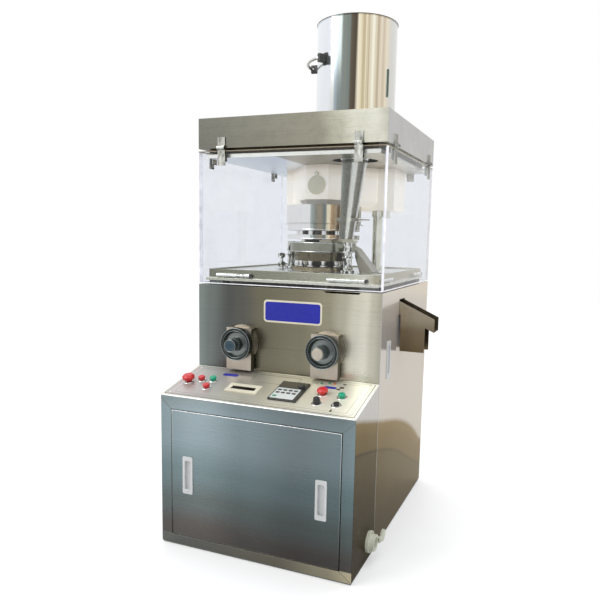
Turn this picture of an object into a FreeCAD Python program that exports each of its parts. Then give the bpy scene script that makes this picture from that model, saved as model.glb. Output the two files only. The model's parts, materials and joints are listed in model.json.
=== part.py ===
"""Single-sided rotary tablet press: cabinet, console, windowed press chamber, turret and drive.

Frame: origin on the floor at the centre of the cabinet's footprint, +Z up, +Y to the rear,
+X to the operator's right.  All sizes are millimetres.
"""
import FreeCAD, Part
import math
import os
import re
import Sketcher

DOC = FreeCAD.newDocument("TabletPress")
SHEET = DOC.addObject("Spreadsheet::Sheet", "Dims")
NODES = {}

# ---------------------------------------------------------------- driving dimensions
DIMENSIONS = {
    # cabinet
    "half_width": 325, "console_front": -445, "body_front": -220, "body_rear": 445,
    "sheet": 2, "foot_gap": 4, "body_top": 829, "lip_width": 18, "play": 0.5,
    "over": 1, "slip": 0.1, "track_play": 0.3, "edge": 1,
    "console_low": 492, "console_high": 544, "top_plate": 3,
    "door_half": 285, "door_low": 36, "door_high": 447, "door_gap": 2, "door_depth": 18,
    "pull_wide": 32, "pull_high": 118, "pull_deep": 14, "pull_x": 226, "pull_z": 240,
    "side_pull_y": -124, "side_pull_z": 608,
    "vent_x": 140, "vent_half": 60, "vent_low": 110, "vent_pitch": 18, "vent_high": 6,
    "notch_left": 132, "notch_right": 258, "notch_deep": 8, "mouth_low": 738, "mouth_high": 793,
    # controls on the console's slope
    "slope_run": 231, "shank": 8, "small_shank": 6, "shank_deep": 20,
    "estop_low": 13, "estop_radius": 20, "estop_top": 29,
    "lamp_low": 11, "lamp_radius": 17, "lamp_top": 25,
    "cap_edge": 3, "cap_round": 6, "cap_slope": 5,
    "push_low": 9, "push_radius": 11, "push_top": 17, "push_edge": 2,
    "knob_base": 4, "knob_radius": 11, "knob_waist": 14, "knob_grip": 9, "knob_top": 22,
    "key_radius": 9, "key_top": 12,
    # base frame
    "rail_high": 30, "rail_wide": 60, "floor_thick": 8, "post_side": 50, "post_x": 270,
    "post_front_y": -175, "post_rear_y": 395, "anchor_x": 280, "anchor_y": 400, "anchor_radius": 9,
    # table
    "table_half": 298, "table_front": -198, "table_rear": 423, "table_low": 853,
    "table_top": 876, "rim_top": 882, "rim_wall": 3, "flange_low": 843, "flange_out": 8,
    "ear_half": 20, "ear_off": 30, "ear_thick": 16, "ear_drop": 22, "roller_room": 3,
    "ramp_left": 158, "ramp_right": 224, "ramp_root": 176, "ramp_top": 958, "ramp_foot": 879,
    "ramp_under": 930, "ramp_near": 10, "ramp_far": 82, "blade_tip": 127, "blade_top": 975,
    "blade_thick": 4, "blade_near": 48,
    "outlet_left": 226, "outlet_right": 290, "outlet_front": -1, "outlet_rear": 64,
    # turret
    "turret_y": 113, "stations": 12, "first_station": -98, "pitch_radius": 92,
    "shaft_radius": 30, "running": 0.06, "guide_low": 911, "guide_radius": 105,
    "die_table_low": 942, "die_table_top": 978, "die_table_radius": 121, "neck_radius": 70,
    "upper_low": 988, "slot_low": 1004, "slot_high": 1018, "upper_high": 1040,
    "upper_radius": 132, "collar_radius": 144, "collar_high": 1042.5, "slot_root": 80,
    "hub_low": 890, "hub_radius": 60, "punch_radius": 9, "tip_radius": 6, "head_radius": 13,
    "die_radius": 13, "die_low": 956, "screw_hole": 3.5, "screw_z": 930, "screw_deep": 5,
    "chamfer": 4, "punch_neck": 6.5, "head_crown": 2, "lower_head": 12, "neck_run": 8,
    "head_low": 12, "head_high": 16, "punch_end": 18, "upper_tip": 987, "upper_tip_run": 7,
    "upper_barrel": 88, "lower_tip": 972, "lower_tip_run": 17, "lower_barrel": 65,
    "shaft_low": 452, "shaft_top": 1106, "shaft_step": 10, "shoulder": 6,
    # stationary cams and rollers
    "cam_low": 1044, "cam_high": 1108, "cam_radius": 136, "cam_wall_radius": 118,
    "cam_hub_radius": 66, "cam_ceiling": 1099, "ring_high": 888, "ring_outer": 112,
    "ring_inner": 70, "roller_radius": 60, "roller_half": 12, "roller_y": 205,
    "axle_radius": 12, "upper_roller_z": 1156, "lower_roller_z": 828.4, "cam_lift": 6,
    "upper_reach_front": 25, "upper_reach_rear": 36, "lower_reach": 40,
    # upper structure
    "shroud_front": 36, "shroud_half": 43, "shroud_rear": 220, "shroud_rear_half": 168,
    "shroud_edge": 6, "sight_radius": 24, "sight_z": 1178, "pivot_z": 1217, "pivot_out": 7,
    "cover_out": 5, "cover_radius": 33, "lug_radius": 8, "lug_half": 6, "lug_low": 1200,
    "column_x_right": 166, "column_y_near": 245, "column_x_left": -168, "column_y_far": 345,
    "column_x_middle": -8, "column_foot": 28, "column_head": 23, "foot_high": 8,
    "rod_radius": 10, "rod_low": 1070, "rod_x": 205, "rod_y": 238,
    "shroud_low": 1129, "shroud_wall": 3, "ceiling_low": 1249, "ceiling_lip": 1261,
    "frame_left": -200, "frame_right": 232, "frame_rear": 380, "frame_low": 1098,
    "frame_wall": 12, "column_radius": 18, "hood_low": 1278, "roof": 1376, "roof_thick": 3,
    "neck_half": 288, "neck_front": -193, "neck_rear": 418,
    "ceiling_half": 300, "ceiling_front": -205, "ceiling_rear": 432,
    # hopper and feed
    "hopper_x": 150, "hopper_y": -9, "hopper_radius": 130, "hopper_wall": 1.5,
    "hopper_top": 1680, "spout_radius": 32, "spout_low": 1282, "spout_long": 17,
    "rim_roll": 4, "rim_out": 2, "hopper_shoulder": 10,
    "tube_top_x": 158, "tube_top_y": -25, "tube_top_z": 1250, "tube_top_radius": 43,
    "tube_low_x": 126, "tube_low_y": 2, "tube_low_z": 990, "tube_low_radius": 25,
    "tube_wall": 1.5, "collar_mouth": 60, "collar_top": 1276, "hole_x": 162, "hole_y": -30,
    "hole_radius": 76, "gate_z": 1055, "gate_thick": 3, "gate_left": 109, "gate_right": 205,
    "gate_half": 24, "gate_y": -5, "frame_plate": 7, "feed_inner": 78, "feed_outer": 110,
    "tube_block": 60, "tube_drop": 30, "collar_deep": 10, "collar_step": 1, "mouth_over": 5,
    "gate_out": 30, "plate_side": 6, "plate_over": 4, "plate_edge": 3, "port_wall": 4,
    "sector_angle": 64, "sector_start": -76, "trough_x": 68, "trough_y": 45, "trough_half": 10,
    "post_x_right": 142, "post_y_right": -24, "post_x_left": -143, "post_y_left": 148,
    "foot_radius": 24, "post_radius": 15, "bead_radius": 19, "bead_one": 926, "bead_two": 944,
    "bead_high": 5, "post_gap": 9, "knob_x": -168, "knob_y": 112, "stud_radius": 9,
    "nut_low": 885, "nut_high": 898, "nut_radius": 15, "stem_radius": 6, "stem_high": 914,
    "ball_radius": 14, "ball_low": 922, "ball_high": 931, "knob_round": 3,
    # windows
    "acrylic": 8, "window_low": 833, "window_high": 1270, "pin_out": 7, "pin_z": 1279,
    "pin_radius": 3, "knuckle_radius": 6, "leaf_wide": 27, "leaf_thick": 4, "hinge_x": 236,
    "hinge_y_front": -133.5, "hinge_y_rear": 358.5, "leaf_high": 1312, "clamp_low": 1222,
    "leaf_gap": 7, "web_high": 8, "clip_thick": 3, "clip_deep": 34,
    # dials
    "dial_x": 152, "dial_z": 641, "dial_radius": 54, "block_half": 46, "block_low": 552,
    "block_high": 692, "block_front": -252, "flange_radius": 60, "flange_thick": 8,
    "dial_hub": 20, "hub_reach": 60, "hub_root": 30, "cup_foot": 24, "cup_floor": 14,
    "cup_radius": 38, "rim_inner": 45, "rim_face": 26, "rim_back": 4, "dial_axle": 44,
    # chute
    "chute_front": -5, "chute_rear": 68, "chute_inner_x": 255, "chute_tip_x": 445,
    "chute_floor_inner": 775, "chute_floor_tip": 688, "chute_wall_high": 45,
    "apron_low": 618, "apron_left": 331, "apron_right": 414, "chute_frame": 12, "tie_high": 7,
    # drive
    "wheel_radius": 101, "wheel_teeth": 30, "tooth_deep": 6, "wheel_z": 500, "wheel_half": 15,
    "worm_y": 243, "worm_radius": 28, "worm_shaft_radius": 14, "gearbox_half": 135,
    "gearbox_front": -15, "gearbox_rear": 295, "gearbox_low": 440, "gearbox_high": 560,
    "gearbox_wall": 10, "pulley_x": -247, "pulley_half": 15, "pulley_radius": 100,
    "motor_pulley_radius": 42, "motor_y": 102, "motor_z": 110, "motor_radius": 72,
    "belt_thick": 8, "belt_play": 0.3, "motor_shaft_radius": 12, "belt_edge": 5,
    "leg_half": 20, "cheek_high": 12, "cheek_wide": 4, "pulley_hub": 40, "hub_start": 20,
    "stub_radius": 22, "motor_hub": 24, "worm_left": 160, "worm_right": 150, "worm_half": 60,
    "worm_thread": 54, "groove_start": -48, "groove_pitch": 20, "groove_wide": 10,
    "motor_left": -150, "motor_right": 70, "bell_inset": 14, "motor_feet_left": -120,
    "motor_feet_right": 30, "feet_half": 62, "feet_high": 50, "terminal_left": -70,
    "terminal_right": -10, "terminal_half": 40, "terminal_low": 50, "terminal_high": 28,
    "motor_bore": 50, "rotor_inset": 45,
    # inlet
    "inlet_y": -285, "inlet_z": 62, "inlet_ring": 26, "inlet_bore": 18, "inlet_face": 350,
    "cap_radius": 19, "cap_arm": 30, "cap_x": 355, "inlet_flange": 33, "inlet_foot": 6,
    "inlet_sleeve": 3, "sleeve_deep": 22, "inlet_deep": 18, "arm_start": 14, "arm_out": 9,
    "arm_in": 5, "eye_radius": 4, "eye_pin": 1.6, "cap_half": 3, "tongue_half": 4.5,
    # catches
    "catch_radius": 6, "catch_off": 7, "catch_z": 862, "catch_long": 125, "barrel_long": 78,
    "catch_neck": 3.5, "catch_neck_long": 8, "bead_round": 4, "bead_long": 8, "end_long": 17,
    "saddle_start": 20, "saddle_end": 56, "saddle_half": 4,
    "catch_left": -263, "catch_right": 138, "catch_near": -158, "catch_far": 262,
}


def fill_sheet():
    for row, (alias, value) in enumerate(DIMENSIONS.items(), start=1):
        SHEET.set("A%d" % row, alias)
        SHEET.set("B%d" % row, str(value))
        SHEET.setAlias("B%d" % row, alias)
    DOC.recompute()


def bound(text):
    """Turn a formula of plain words into an expression that reads the sheet."""
    return re.sub(r"[a-z][a-z_]*[a-z]", lambda m: "Dims." + m.group(0)
                  if m.group(0) in DIMENSIONS else m.group(0), str(text))


def bind(thing, prop, formula):
    thing.setExpression(prop, bound(formula))


def place(thing, x="0", y="0", z="0"):
    for axis, formula in zip("xyz", (x, y, z)):
        bind(thing, "Placement.Base." + axis, formula)


def node(thing, name):
    """Register a finished sub-part under its own name."""
    thing.Label = name
    NODES[name] = thing
    return thing


# ---------------------------------------------------------------- shape helpers
def box(x, y, z):
    solid = DOC.addObject("Part::Box", "Box")
    for prop, (low, high) in zip(("Length", "Width", "Height"), (x, y, z)):
        bind(solid, prop, "(%s) - (%s)" % (high, low))
    place(solid, x[0], y[0], z[0])
    return solid


TURNS = {
    "z": FreeCAD.Rotation(),
    "x": FreeCAD.Rotation(FreeCAD.Vector(0, 1, 0), 90),
    "y": FreeCAD.Rotation(FreeCAD.Vector(1, 0, 0), -90),
}


def rod(axis, radius, span, at):
    """A cylinder along one axis; at holds its two other coordinates in x, y, z order."""
    solid = DOC.addObject("Part::Cylinder", "Rod")
    bind(solid, "Radius", radius)
    bind(solid, "Height", "(%s) - (%s)" % (span[1], span[0]))
    solid.Placement = FreeCAD.Placement(FreeCAD.Vector(), TURNS[axis])
    spots = list(at)
    spots.insert("xyz".index(axis), span[0])
    place(solid, *spots)
    return solid


def fuse(*solids):
    joined = DOC.addObject("Part::MultiFuse", "Fuse")
    joined.Shapes = list(solids)
    return joined


def group(*solids):
    """Separate solids that share one sub-part."""
    held = DOC.addObject("Part::Compound", "Group")
    held.Links = list(solids)
    return held


def cut(base, *tools):
    result = DOC.addObject("Part::Cut", "Cut")
    result.Base = base
    result.Tool = tools[0] if len(tools) == 1 else fuse(*tools)
    return result


def origin_feature(body, role):
    return [f for f in body.Origin.OriginFeatures if f.Role == role][0]


def outline(body, plane, points):
    """A closed sketch whose corners are dimensioned from the origin by formulas."""
    sketch = body.newObject("Sketcher::SketchObject", "Outline")
    sketch.AttachmentSupport = [(origin_feature(body, plane + "_Plane"), "")]
    sketch.MapMode = "FlatFace"
    count = len(points)
    spots = [FreeCAD.Vector(value_of(u), value_of(v), 0) for u, v in points]
    for i in range(count):
        sketch.addGeometry(Part.LineSegment(spots[i], spots[(i + 1) % count]), False)
    for i in range(count):
        sketch.addConstraint(Sketcher.Constraint("Coincident", i, 2, (i + 1) % count, 1))
    for i, (u, v) in enumerate(points):
        for kind, formula, now in (("DistanceX", u, spots[i].x), ("DistanceY", v, spots[i].y)):
            index = sketch.addConstraint(Sketcher.Constraint(kind, -1, 1, i, 1, now))
            sketch.setExpression("Constraints[%d]" % index, bound(formula))
    return sketch


def value_of(formula):
    """Work a formula of sheet words out with the sheet's present numbers."""
    probe = DOC.getObject("Probe") or DOC.addObject("App::FeaturePython", "Probe")
    if "Number" not in probe.PropertiesList:
        probe.addProperty("App::PropertyFloat", "Number")
    probe.setExpression("Number", bound(formula))
    probe.recompute()
    return float(probe.Number)


def prism(plane, points, span):
    """A padded outline; span is where it starts and ends along the plane's normal."""
    body = DOC.addObject("PartDesign::Body", "Prism")
    pad = body.newObject("PartDesign::Pad", "Pad")
    pad.Profile = outline(body, plane, points)
    bind(pad, "Length", "(%s) - (%s)" % (span[1], span[0]))
    pad.Reversed = plane == "XZ"
    start = {"XY": ("0", "0", span[0]), "XZ": ("0", span[0], "0"), "YZ": (span[0], "0", "0")}
    place(body, *start[plane])
    return body


def turned(profile, at=("0", "0", "0"), axis="z"):
    """A body of revolution: profile corners are (radius, distance along the axis)."""
    body = DOC.addObject("PartDesign::Body", "Turned")
    sketch = outline(body, "XZ", profile)
    spin = body.newObject("PartDesign::Revolution", "Spin")
    spin.Profile = sketch
    spin.ReferenceAxis = (sketch, ["V_Axis"])
    spin.Angle = 360
    body.Placement = FreeCAD.Placement(FreeCAD.Vector(), TURNS[axis])
    place(body, *at)
    return body


def ring_of(profile):
    """The same turned piece at every station of the turret's pitch circle."""
    body = DOC.addObject("PartDesign::Body", "Ring")
    body.AllowCompound = True
    shifted = [("pitch_radius + (%s)" % r, z) for r, z in profile]
    sketch = outline(body, "XZ", shifted)
    far = DIMENSIONS["pitch_radius"]
    line = sketch.addGeometry(
        Part.LineSegment(FreeCAD.Vector(far, 0, 0), FreeCAD.Vector(far, 1, 0)), True)
    index = sketch.addConstraint(Sketcher.Constraint("DistanceX", -1, 1, line, 1, far))
    sketch.setExpression("Constraints[%d]" % index, bound("pitch_radius"))
    sketch.addConstraint(Sketcher.Constraint("Vertical", line))
    spin = body.newObject("PartDesign::Revolution", "Spin")
    spin.Profile = sketch
    spin.ReferenceAxis = (sketch, ["Axis0"])
    spin.Angle = 360
    pattern = body.newObject("PartDesign::PolarPattern", "Stations")
    pattern.Originals = [spin]
    pattern.Axis = (origin_feature(body, "Z_Axis"), [""])
    pattern.Angle = 360
    bind(pattern, "Occurrences", "stations")
    body.Tip = pattern
    bind(body, "Placement.Rotation.Angle", "first_station")
    place(body, "0", "turret_y", "0")
    return body


def ring_frame(x, y, z, wall):
    """An upright rectangular ring of one wall thickness, open above and below."""
    inner_x = ("(%s) + (%s)" % (x[0], wall), "(%s) - (%s)" % (x[1], wall))
    inner_y = ("(%s) + (%s)" % (y[0], wall), "(%s) - (%s)" % (y[1], wall))
    return cut(box(x, y, z), box(inner_x, inner_y, ("(%s) - over" % z[0], "(%s) + over" % z[1])))


def around(x, reach):
    return ("%s - (%s)" % (x, reach), "%s + (%s)" % (x, reach))


# ---------------------------------------------------------------- cabinet
def base_frame():
    outer_x = ("-half_width + sheet + play", "half_width - sheet - play")
    outer_y = ("console_front + sheet + play", "body_rear - sheet - play")
    rails = ring_frame(outer_x, outer_y, ("0", "rail_high"), "rail_wide")
    floor = box(outer_x, outer_y, ("0", "floor_thick"))
    cross = box(outer_x, ("body_front - rail_wide/2", "body_front + rail_wide/2"),
                ("0", "rail_high"))
    posts = []
    for side in ("-1", "1"):
        for post_y in ("post_front_y", "post_rear_y"):
            posts.append(box(around("%s*post_x" % side, "post_side/2"),
                             around(post_y, "post_side/2"), ("0", "flange_low")))
    anchors = []
    for side_x in ("-1", "1"):
        for side_y in ("-1", "1"):
            anchors.append(rod("z", "anchor_radius", ("-over", "rail_high + over"),
                               ("%s*anchor_x" % side_x, "%s*anchor_y" % side_y)))
    node(cut(fuse(rails, floor, cross, *posts), *anchors), "base_frame")


VENT_ROWS = 10


def side_casing():
    left_x = ("-half_width", "-half_width + sheet")
    left = box(left_x, ("body_front + sheet", "body_rear"), ("foot_gap", "body_top"))
    rear_x = ("-half_width + sheet", "half_width - sheet - play")
    rear = box(rear_x, ("body_rear - sheet", "body_rear"), ("foot_gap", "body_top"))
    lip_z = ("body_top - sheet", "body_top")
    left_lip = box(("-half_width + sheet", "-half_width + lip_width"),
                   ("body_front + sheet", "body_rear - sheet"), lip_z)
    rear_lip = box(("-half_width + lip_width", "half_width - lip_width - play"),
                   ("body_rear - lip_width", "body_rear - sheet"), lip_z)
    slots = []
    for column in ("-1", "1"):
        for row in range(VENT_ROWS):
            low = "vent_low + %d*vent_pitch" % row
            slots.append(box(around("%s*vent_x" % column, "vent_half"),
                             ("body_rear - 2*sheet", "body_rear + sheet"),
                             (low, "%s + vent_high" % low)))
    node(cut(fuse(left, rear, left_lip, rear_lip), *slots), "side_casing")


def front_panel():
    face = box(("-half_width", "half_width"), ("body_front", "body_front + sheet"),
               ("console_high - lip_width", "body_top"))
    lip = box(around("0", "half_width - lip_width - play"),
              ("body_front + sheet", "body_front + lip_width"), ("body_top - sheet", "body_top"))
    notch = prism("XZ", [("notch_left", "body_top + over"),
                         ("notch_left + notch_deep", "body_top - notch_deep"),
                         ("notch_right - notch_deep", "body_top - notch_deep"),
                         ("notch_right", "body_top + over")],
                  ("body_front - over", "body_front + sheet + over"))
    holes = [rod("y", "axle_radius + 2*play", ("body_front - over", "body_front + 2*sheet"),
                 ("%s*dial_x" % side, "dial_z")) for side in ("-1", "1")]
    node(cut(fuse(face, lip), notch, *holes), "front_panel")


def flush_pull(axis, face, centre, height):
    """A recessed finger pull: its cup and the hole for it, set into a face of the given axis."""
    if axis == "y":
        spans = (around(centre, "pull_wide/2"), (face, "%s + pull_deep" % face))
        hole = (around(centre, "pull_wide/2 - sheet"),
                ("%s - over" % face, "%s + pull_deep - sheet" % face))
    else:
        spans = (("%s - pull_deep" % face, face), around(centre, "pull_wide/2"))
        hole = (("%s - pull_deep + sheet" % face, "%s + over" % face),
                around(centre, "pull_wide/2 - sheet"))
    cup = box(spans[0], spans[1], around(height, "pull_high/2"))
    hollow = box(hole[0], hole[1], around(height, "pull_high/2 - sheet"))
    return cup, hollow


def right_side_panel():
    sheet_x = ("half_width - sheet", "half_width")
    face = box(sheet_x, ("body_front + sheet + play", "body_rear"), ("foot_gap", "body_top"))
    lip = box(("half_width - lip_width", "half_width - sheet"),
              ("body_front + lip_width + play", "body_rear - lip_width - play"),
              ("body_top - sheet", "body_top"))
    cup, hollow = flush_pull("x", "half_width", "side_pull_y", "side_pull_z")
    mouth = box(("half_width - lip_width", "half_width + over"),
                ("chute_front - sheet", "chute_rear + sheet"), ("mouth_low", "mouth_high"))
    node(cut(fuse(face, lip, cup), hollow, mouth), "right_side_panel")


def console_shell():
    outer = prism("YZ", [("console_front", "foot_gap"), ("body_front", "foot_gap"),
                         ("body_front", "console_high"), ("console_front", "console_low")],
                  ("-half_width", "half_width"))
    inner = prism("YZ", [("console_front + sheet", "0"), ("body_front + over", "0"),
                         ("body_front + over", "console_high + rail_high"),
                         ("console_front + sheet", "console_low + rail_high")],
                  ("-half_width + sheet", "half_width - sheet"))
    wide = "door_half + door_gap"
    low, high = "door_low - door_gap", "door_high + door_gap"
    opening = box(around("0", wide), ("console_front - over", "console_front + sheet + over"),
                  (low, high))
    jamb = cut(box(around("0", wide + " + sheet"),
                   ("console_front + sheet", "console_front + door_depth + sheet"),
                   (low + " - sheet", high + " + sheet")),
               box(around("0", wide), ("console_front", "console_front + 2*door_depth"),
                   (low, high)))
    socket = rod("x", "inlet_bore + inlet_sleeve + 2*slip",
                 ("half_width - 2*sheet", "half_width + over"), ("inlet_y", "inlet_z"))
    shell = fuse(cut(outer, inner, opening, socket), jamb)
    node(shell, "console_shell")


def service_door():
    x = around("0", "door_half")
    outer = box(x, ("console_front", "console_front + door_depth"), ("door_low", "door_high"))
    inner = box(around("0", "door_half - sheet"),
                ("console_front + sheet", "console_front + door_depth + over"),
                ("door_low + sheet", "door_high - sheet"))
    shell = cut(outer, inner)
    cups, hollows = [], []
    for side in ("-1", "1"):
        cup, hollow = flush_pull("y", "console_front", "%s*pull_x" % side, "pull_z")
        cups.append(cup)
        hollows.append(hollow)
    node(cut(fuse(shell, *cups), *hollows), "service_door")


# the console's sloping top and what stands on it, laid out along the slope from its front edge
SLOPE = math.degrees(math.atan2(DIMENSIONS["console_high"] - DIMENSIONS["console_low"],
                                DIMENSIONS["body_front"] - DIMENSIONS["console_front"]))
CONTROLS = {
    # name: (x, distance up the slope, shank)
    "estop_button": (-283, 100, "shank"), "red_button": (-247, 122, "shank"),
    "green_button": (-207, 128, "shank"), "stop_button": (-201, 74, "shank"),
    "lamp_button": (179, 122, "shank"), "start_button": (243, 116, "shank"),
    "selector_knob": (183, 62, "small_shank"), "key_switch": (244, 64, "small_shank"),
}


def slope_spot(along):
    angle = math.radians(SLOPE)
    return ("console_front + %.9f" % (along * math.cos(angle)),
            "console_low + %.9f" % (along * math.sin(angle)))


def on_slope(thing, x=0.0, along=0.0):
    """Set a piece, made standing on z = 0, upright on the sloping plate's upper face."""
    thing.Placement = FreeCAD.Placement(
        FreeCAD.Vector(), FreeCAD.Rotation(FreeCAD.Vector(1, 0, 0), SLOPE))
    place(thing, str(x), *slope_spot(along))
    return thing


def console_top():
    plate = box(("-half_width", "half_width"), ("0", "1"), ("0", "top_plate"))
    bind(plate, "Width", "slope_run - top_plate/2")
    holes = []
    for x, along, radius in CONTROLS.values():
        holes.append(on_slope(rod("z", "%s + slip" % radius, ("-over", "top_plate + over"),
                                  ("0", "0")), x, along))
    on_slope(plate)
    bind(plate, "Placement.Base.x", "-half_width")
    node(cut(plate, *holes), "console_top")


def stalk(shank, head):
    """A turned control: its shank through the plate, then the corners of its head."""
    return [("0", "-shank_deep"), (shank, "-shank_deep")] + head


def mushroom(low, radius, top):
    return stalk("shank", [
        ("shank", low), ("%s - cap_edge" % radius, low), (radius, "%s + cap_edge" % low),
        (radius, "%s - cap_round" % top), ("%s - cap_slope" % radius, "%s - edge" % top),
        ("0", top)])


BUTTON_SHAPES = {
    "estop_button": mushroom("estop_low", "estop_radius", "estop_top"),
    "lamp_button": mushroom("lamp_low", "lamp_radius", "lamp_top"),
    "selector_knob": stalk("small_shank", [
        ("small_shank", "knob_base"), ("knob_radius", "knob_base"),
        ("knob_radius", "knob_waist"), ("knob_grip", "knob_top"), ("0", "knob_top")]),
    "key_switch": stalk("small_shank", [
        ("small_shank", "knob_base"), ("key_radius", "knob_base"), ("key_radius", "key_top"),
        ("0", "key_top")]),
}
PUSH_SHAPE = stalk("shank", [
    ("shank", "push_low"), ("push_radius", "push_low"), ("push_radius", "push_top - push_edge"),
    ("push_radius - push_edge", "push_top"), ("0", "push_top")])


def controls():
    for name, (x, along, _radius) in CONTROLS.items():
        profile = BUTTON_SHAPES.get(name, PUSH_SHAPE)
        node(on_slope(turned(profile), x, along), name)


# ---------------------------------------------------------------- table
def table_plate():
    x = around("0", "table_half")
    y = ("table_front", "table_rear")
    plate = box(x, y, ("table_low", "table_top"))
    lip = ring_frame(x, y, ("table_top", "rim_top"), "rim_wall")
    flange = box(around("0", "table_half + flange_out"),
                 ("table_front - flange_out", "table_rear + flange_out"),
                 ("flange_low", "table_low"))
    ears = [box(around("0", "ear_half"), around("roller_y + %s*ear_off" % side, "ear_thick/2"),
                ("lower_roller_z - ear_drop", "flange_low")) for side in ("-1", "1")]
    bush = rod("z", "shaft_radius + running", ("flange_low - over", "table_top + over"),
               ("0", "turret_y"))
    slot = box(around("0", "roller_radius + roller_room"),
               around("roller_y", "roller_half + sheet"),
               ("flange_low - over", "table_top + over"))
    axle = rod("y", "axle_radius + running", around("roller_y", "ear_off + ear_half"),
               ("0", "lower_roller_z"))
    outlet = box(("outlet_left", "outlet_right"), ("outlet_front", "outlet_rear"),
                 ("flange_low - over", "table_top + over"))
    node(cut(fuse(plate, lip, flange, *ears), bush, slot, axle, outlet), "table_plate")


def catch(axis, start, off):
    """One window catch lying along the rim: barrel, neck, ball head and end collar."""
    neck = "barrel_long + catch_neck_long"
    bead = neck + " + bead_round"
    tail = bead + " + bead_long"
    collar = "catch_long - end_long"
    profile = [("0", "0"), ("catch_radius", "0"), ("catch_radius", "barrel_long"),
               ("catch_neck", "barrel_long"), ("catch_neck", neck), ("catch_radius", bead),
               ("catch_radius", tail), ("catch_neck", tail + " + bead_round"),
               ("catch_neck", collar), ("catch_radius + play", collar),
               ("catch_radius + play", "catch_long"), ("0", "catch_long")]
    at = (start, off, "catch_z") if axis == "x" else (off, start, "catch_z")
    return turned(profile, at, axis)


def window_catches():
    pieces = []
    for axis, starts, off, rim in (
            ("x", ("catch_left", "catch_right"), "table_front - catch_off", "table_front"),
            ("x", ("catch_left", "catch_right"), "table_rear + catch_off", "table_rear"),
            ("y", ("catch_near", "catch_far"), "-table_half - catch_off", "-table_half"),
            ("y", ("catch_near", "catch_far"), "table_half + catch_off", "table_half")):
        for start in starts:
            barrel = catch(axis, start, off)
            along = ("%s + saddle_start" % start, "%s + saddle_end" % start)
            across = ("min(%s;%s)" % (off, rim), "max(%s;%s)" % (off, rim))
            spans = (along, across) if axis == "x" else (across, along)
            saddle = box(spans[0], spans[1], around("catch_z", "saddle_half"))
            pieces.append(fuse(barrel, saddle))
    node(group(*pieces), "window_catches")


def takeoff_ramp():
    wedge = prism("XZ", [("ramp_left", "ramp_top"), ("ramp_right", "ramp_foot"),
                         ("ramp_right", "table_top"), ("ramp_root", "table_top"),
                         ("ramp_left", "ramp_under")], ("ramp_near", "ramp_far"))
    plate = prism("XZ", [("blade_tip", "blade_top"), ("ramp_left", "ramp_top"),
                         ("ramp_left", "ramp_top - blade_thick"),
                         ("blade_tip", "blade_top - blade_thick")], ("blade_near", "ramp_far"))
    node(fuse(wedge, plate), "takeoff_ramp")


def discharge_chute():
    def floor_at(x):
        share = "((%s) - chute_inner_x)/(chute_tip_x - chute_inner_x)" % x
        return "chute_floor_inner + (chute_floor_tip - chute_floor_inner)*%s" % share

    def strip(low, high):
        return [("chute_inner_x", "%s + %s" % (floor_at("chute_inner_x"), low)),
                ("chute_tip_x", "%s + %s" % (floor_at("chute_tip_x"), low)),
                ("chute_tip_x", "%s + %s" % (floor_at("chute_tip_x"), high)),
                ("chute_inner_x", "%s + %s" % (floor_at("chute_inner_x"), high))]

    floor = prism("XZ", strip("0", "sheet"), ("chute_front", "chute_rear"))
    pieces = [floor]
    for low, high in (("chute_front", "chute_front + sheet"),
                      ("chute_rear - sheet", "chute_rear")):
        pieces.append(prism("XZ", strip("0", "chute_wall_high"), (low, high)))
        pieces.append(prism("XZ", [("apron_left", "apron_low"), ("apron_right", "apron_low"),
                                   ("apron_right", floor_at("apron_right") + " + over"),
                                   ("apron_left", floor_at("apron_left") + " + over")],
                            (low, high)))
    collar = cut(box(("half_width - 3*sheet", "half_width - sheet"),
                     ("chute_front - chute_frame", "chute_rear + chute_frame"),
                     ("mouth_low - chute_frame", "mouth_high + chute_frame")),
                 box(("half_width - 4*sheet", "half_width"), ("chute_front", "chute_rear"),
                     ("mouth_low + sheet", "mouth_high + sheet")))
    tie = box(("half_width - 3*sheet", "half_width - sheet"), ("chute_front", "chute_rear"),
              ("mouth_low", "mouth_low + tie_high"))
    node(fuse(collar, tie, *pieces), "discharge_chute")


# ---------------------------------------------------------------- turret
def punch(tip, way, tip_run, barrel, head):
    """A punch from its tip to its head; way is + with the head above the tip, - below."""
    def far(run):
        return "%s %s (%s)" % (tip, way, run)

    return [("0", tip), ("tip_radius", tip), ("tip_radius", far(tip_run)),
            ("punch_radius", far(tip_run + " + edge")), ("punch_radius", far(barrel)),
            ("punch_neck", far(barrel + " + edge")),
            ("punch_neck", far(barrel + " + edge + neck_run")),
            (head, far(barrel + " + head_low")), (head, far(barrel + " + head_high")),
            ("%s - head_crown" % head, far(barrel + " + punch_end")),
            ("0", far(barrel + " + punch_end"))]


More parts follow.
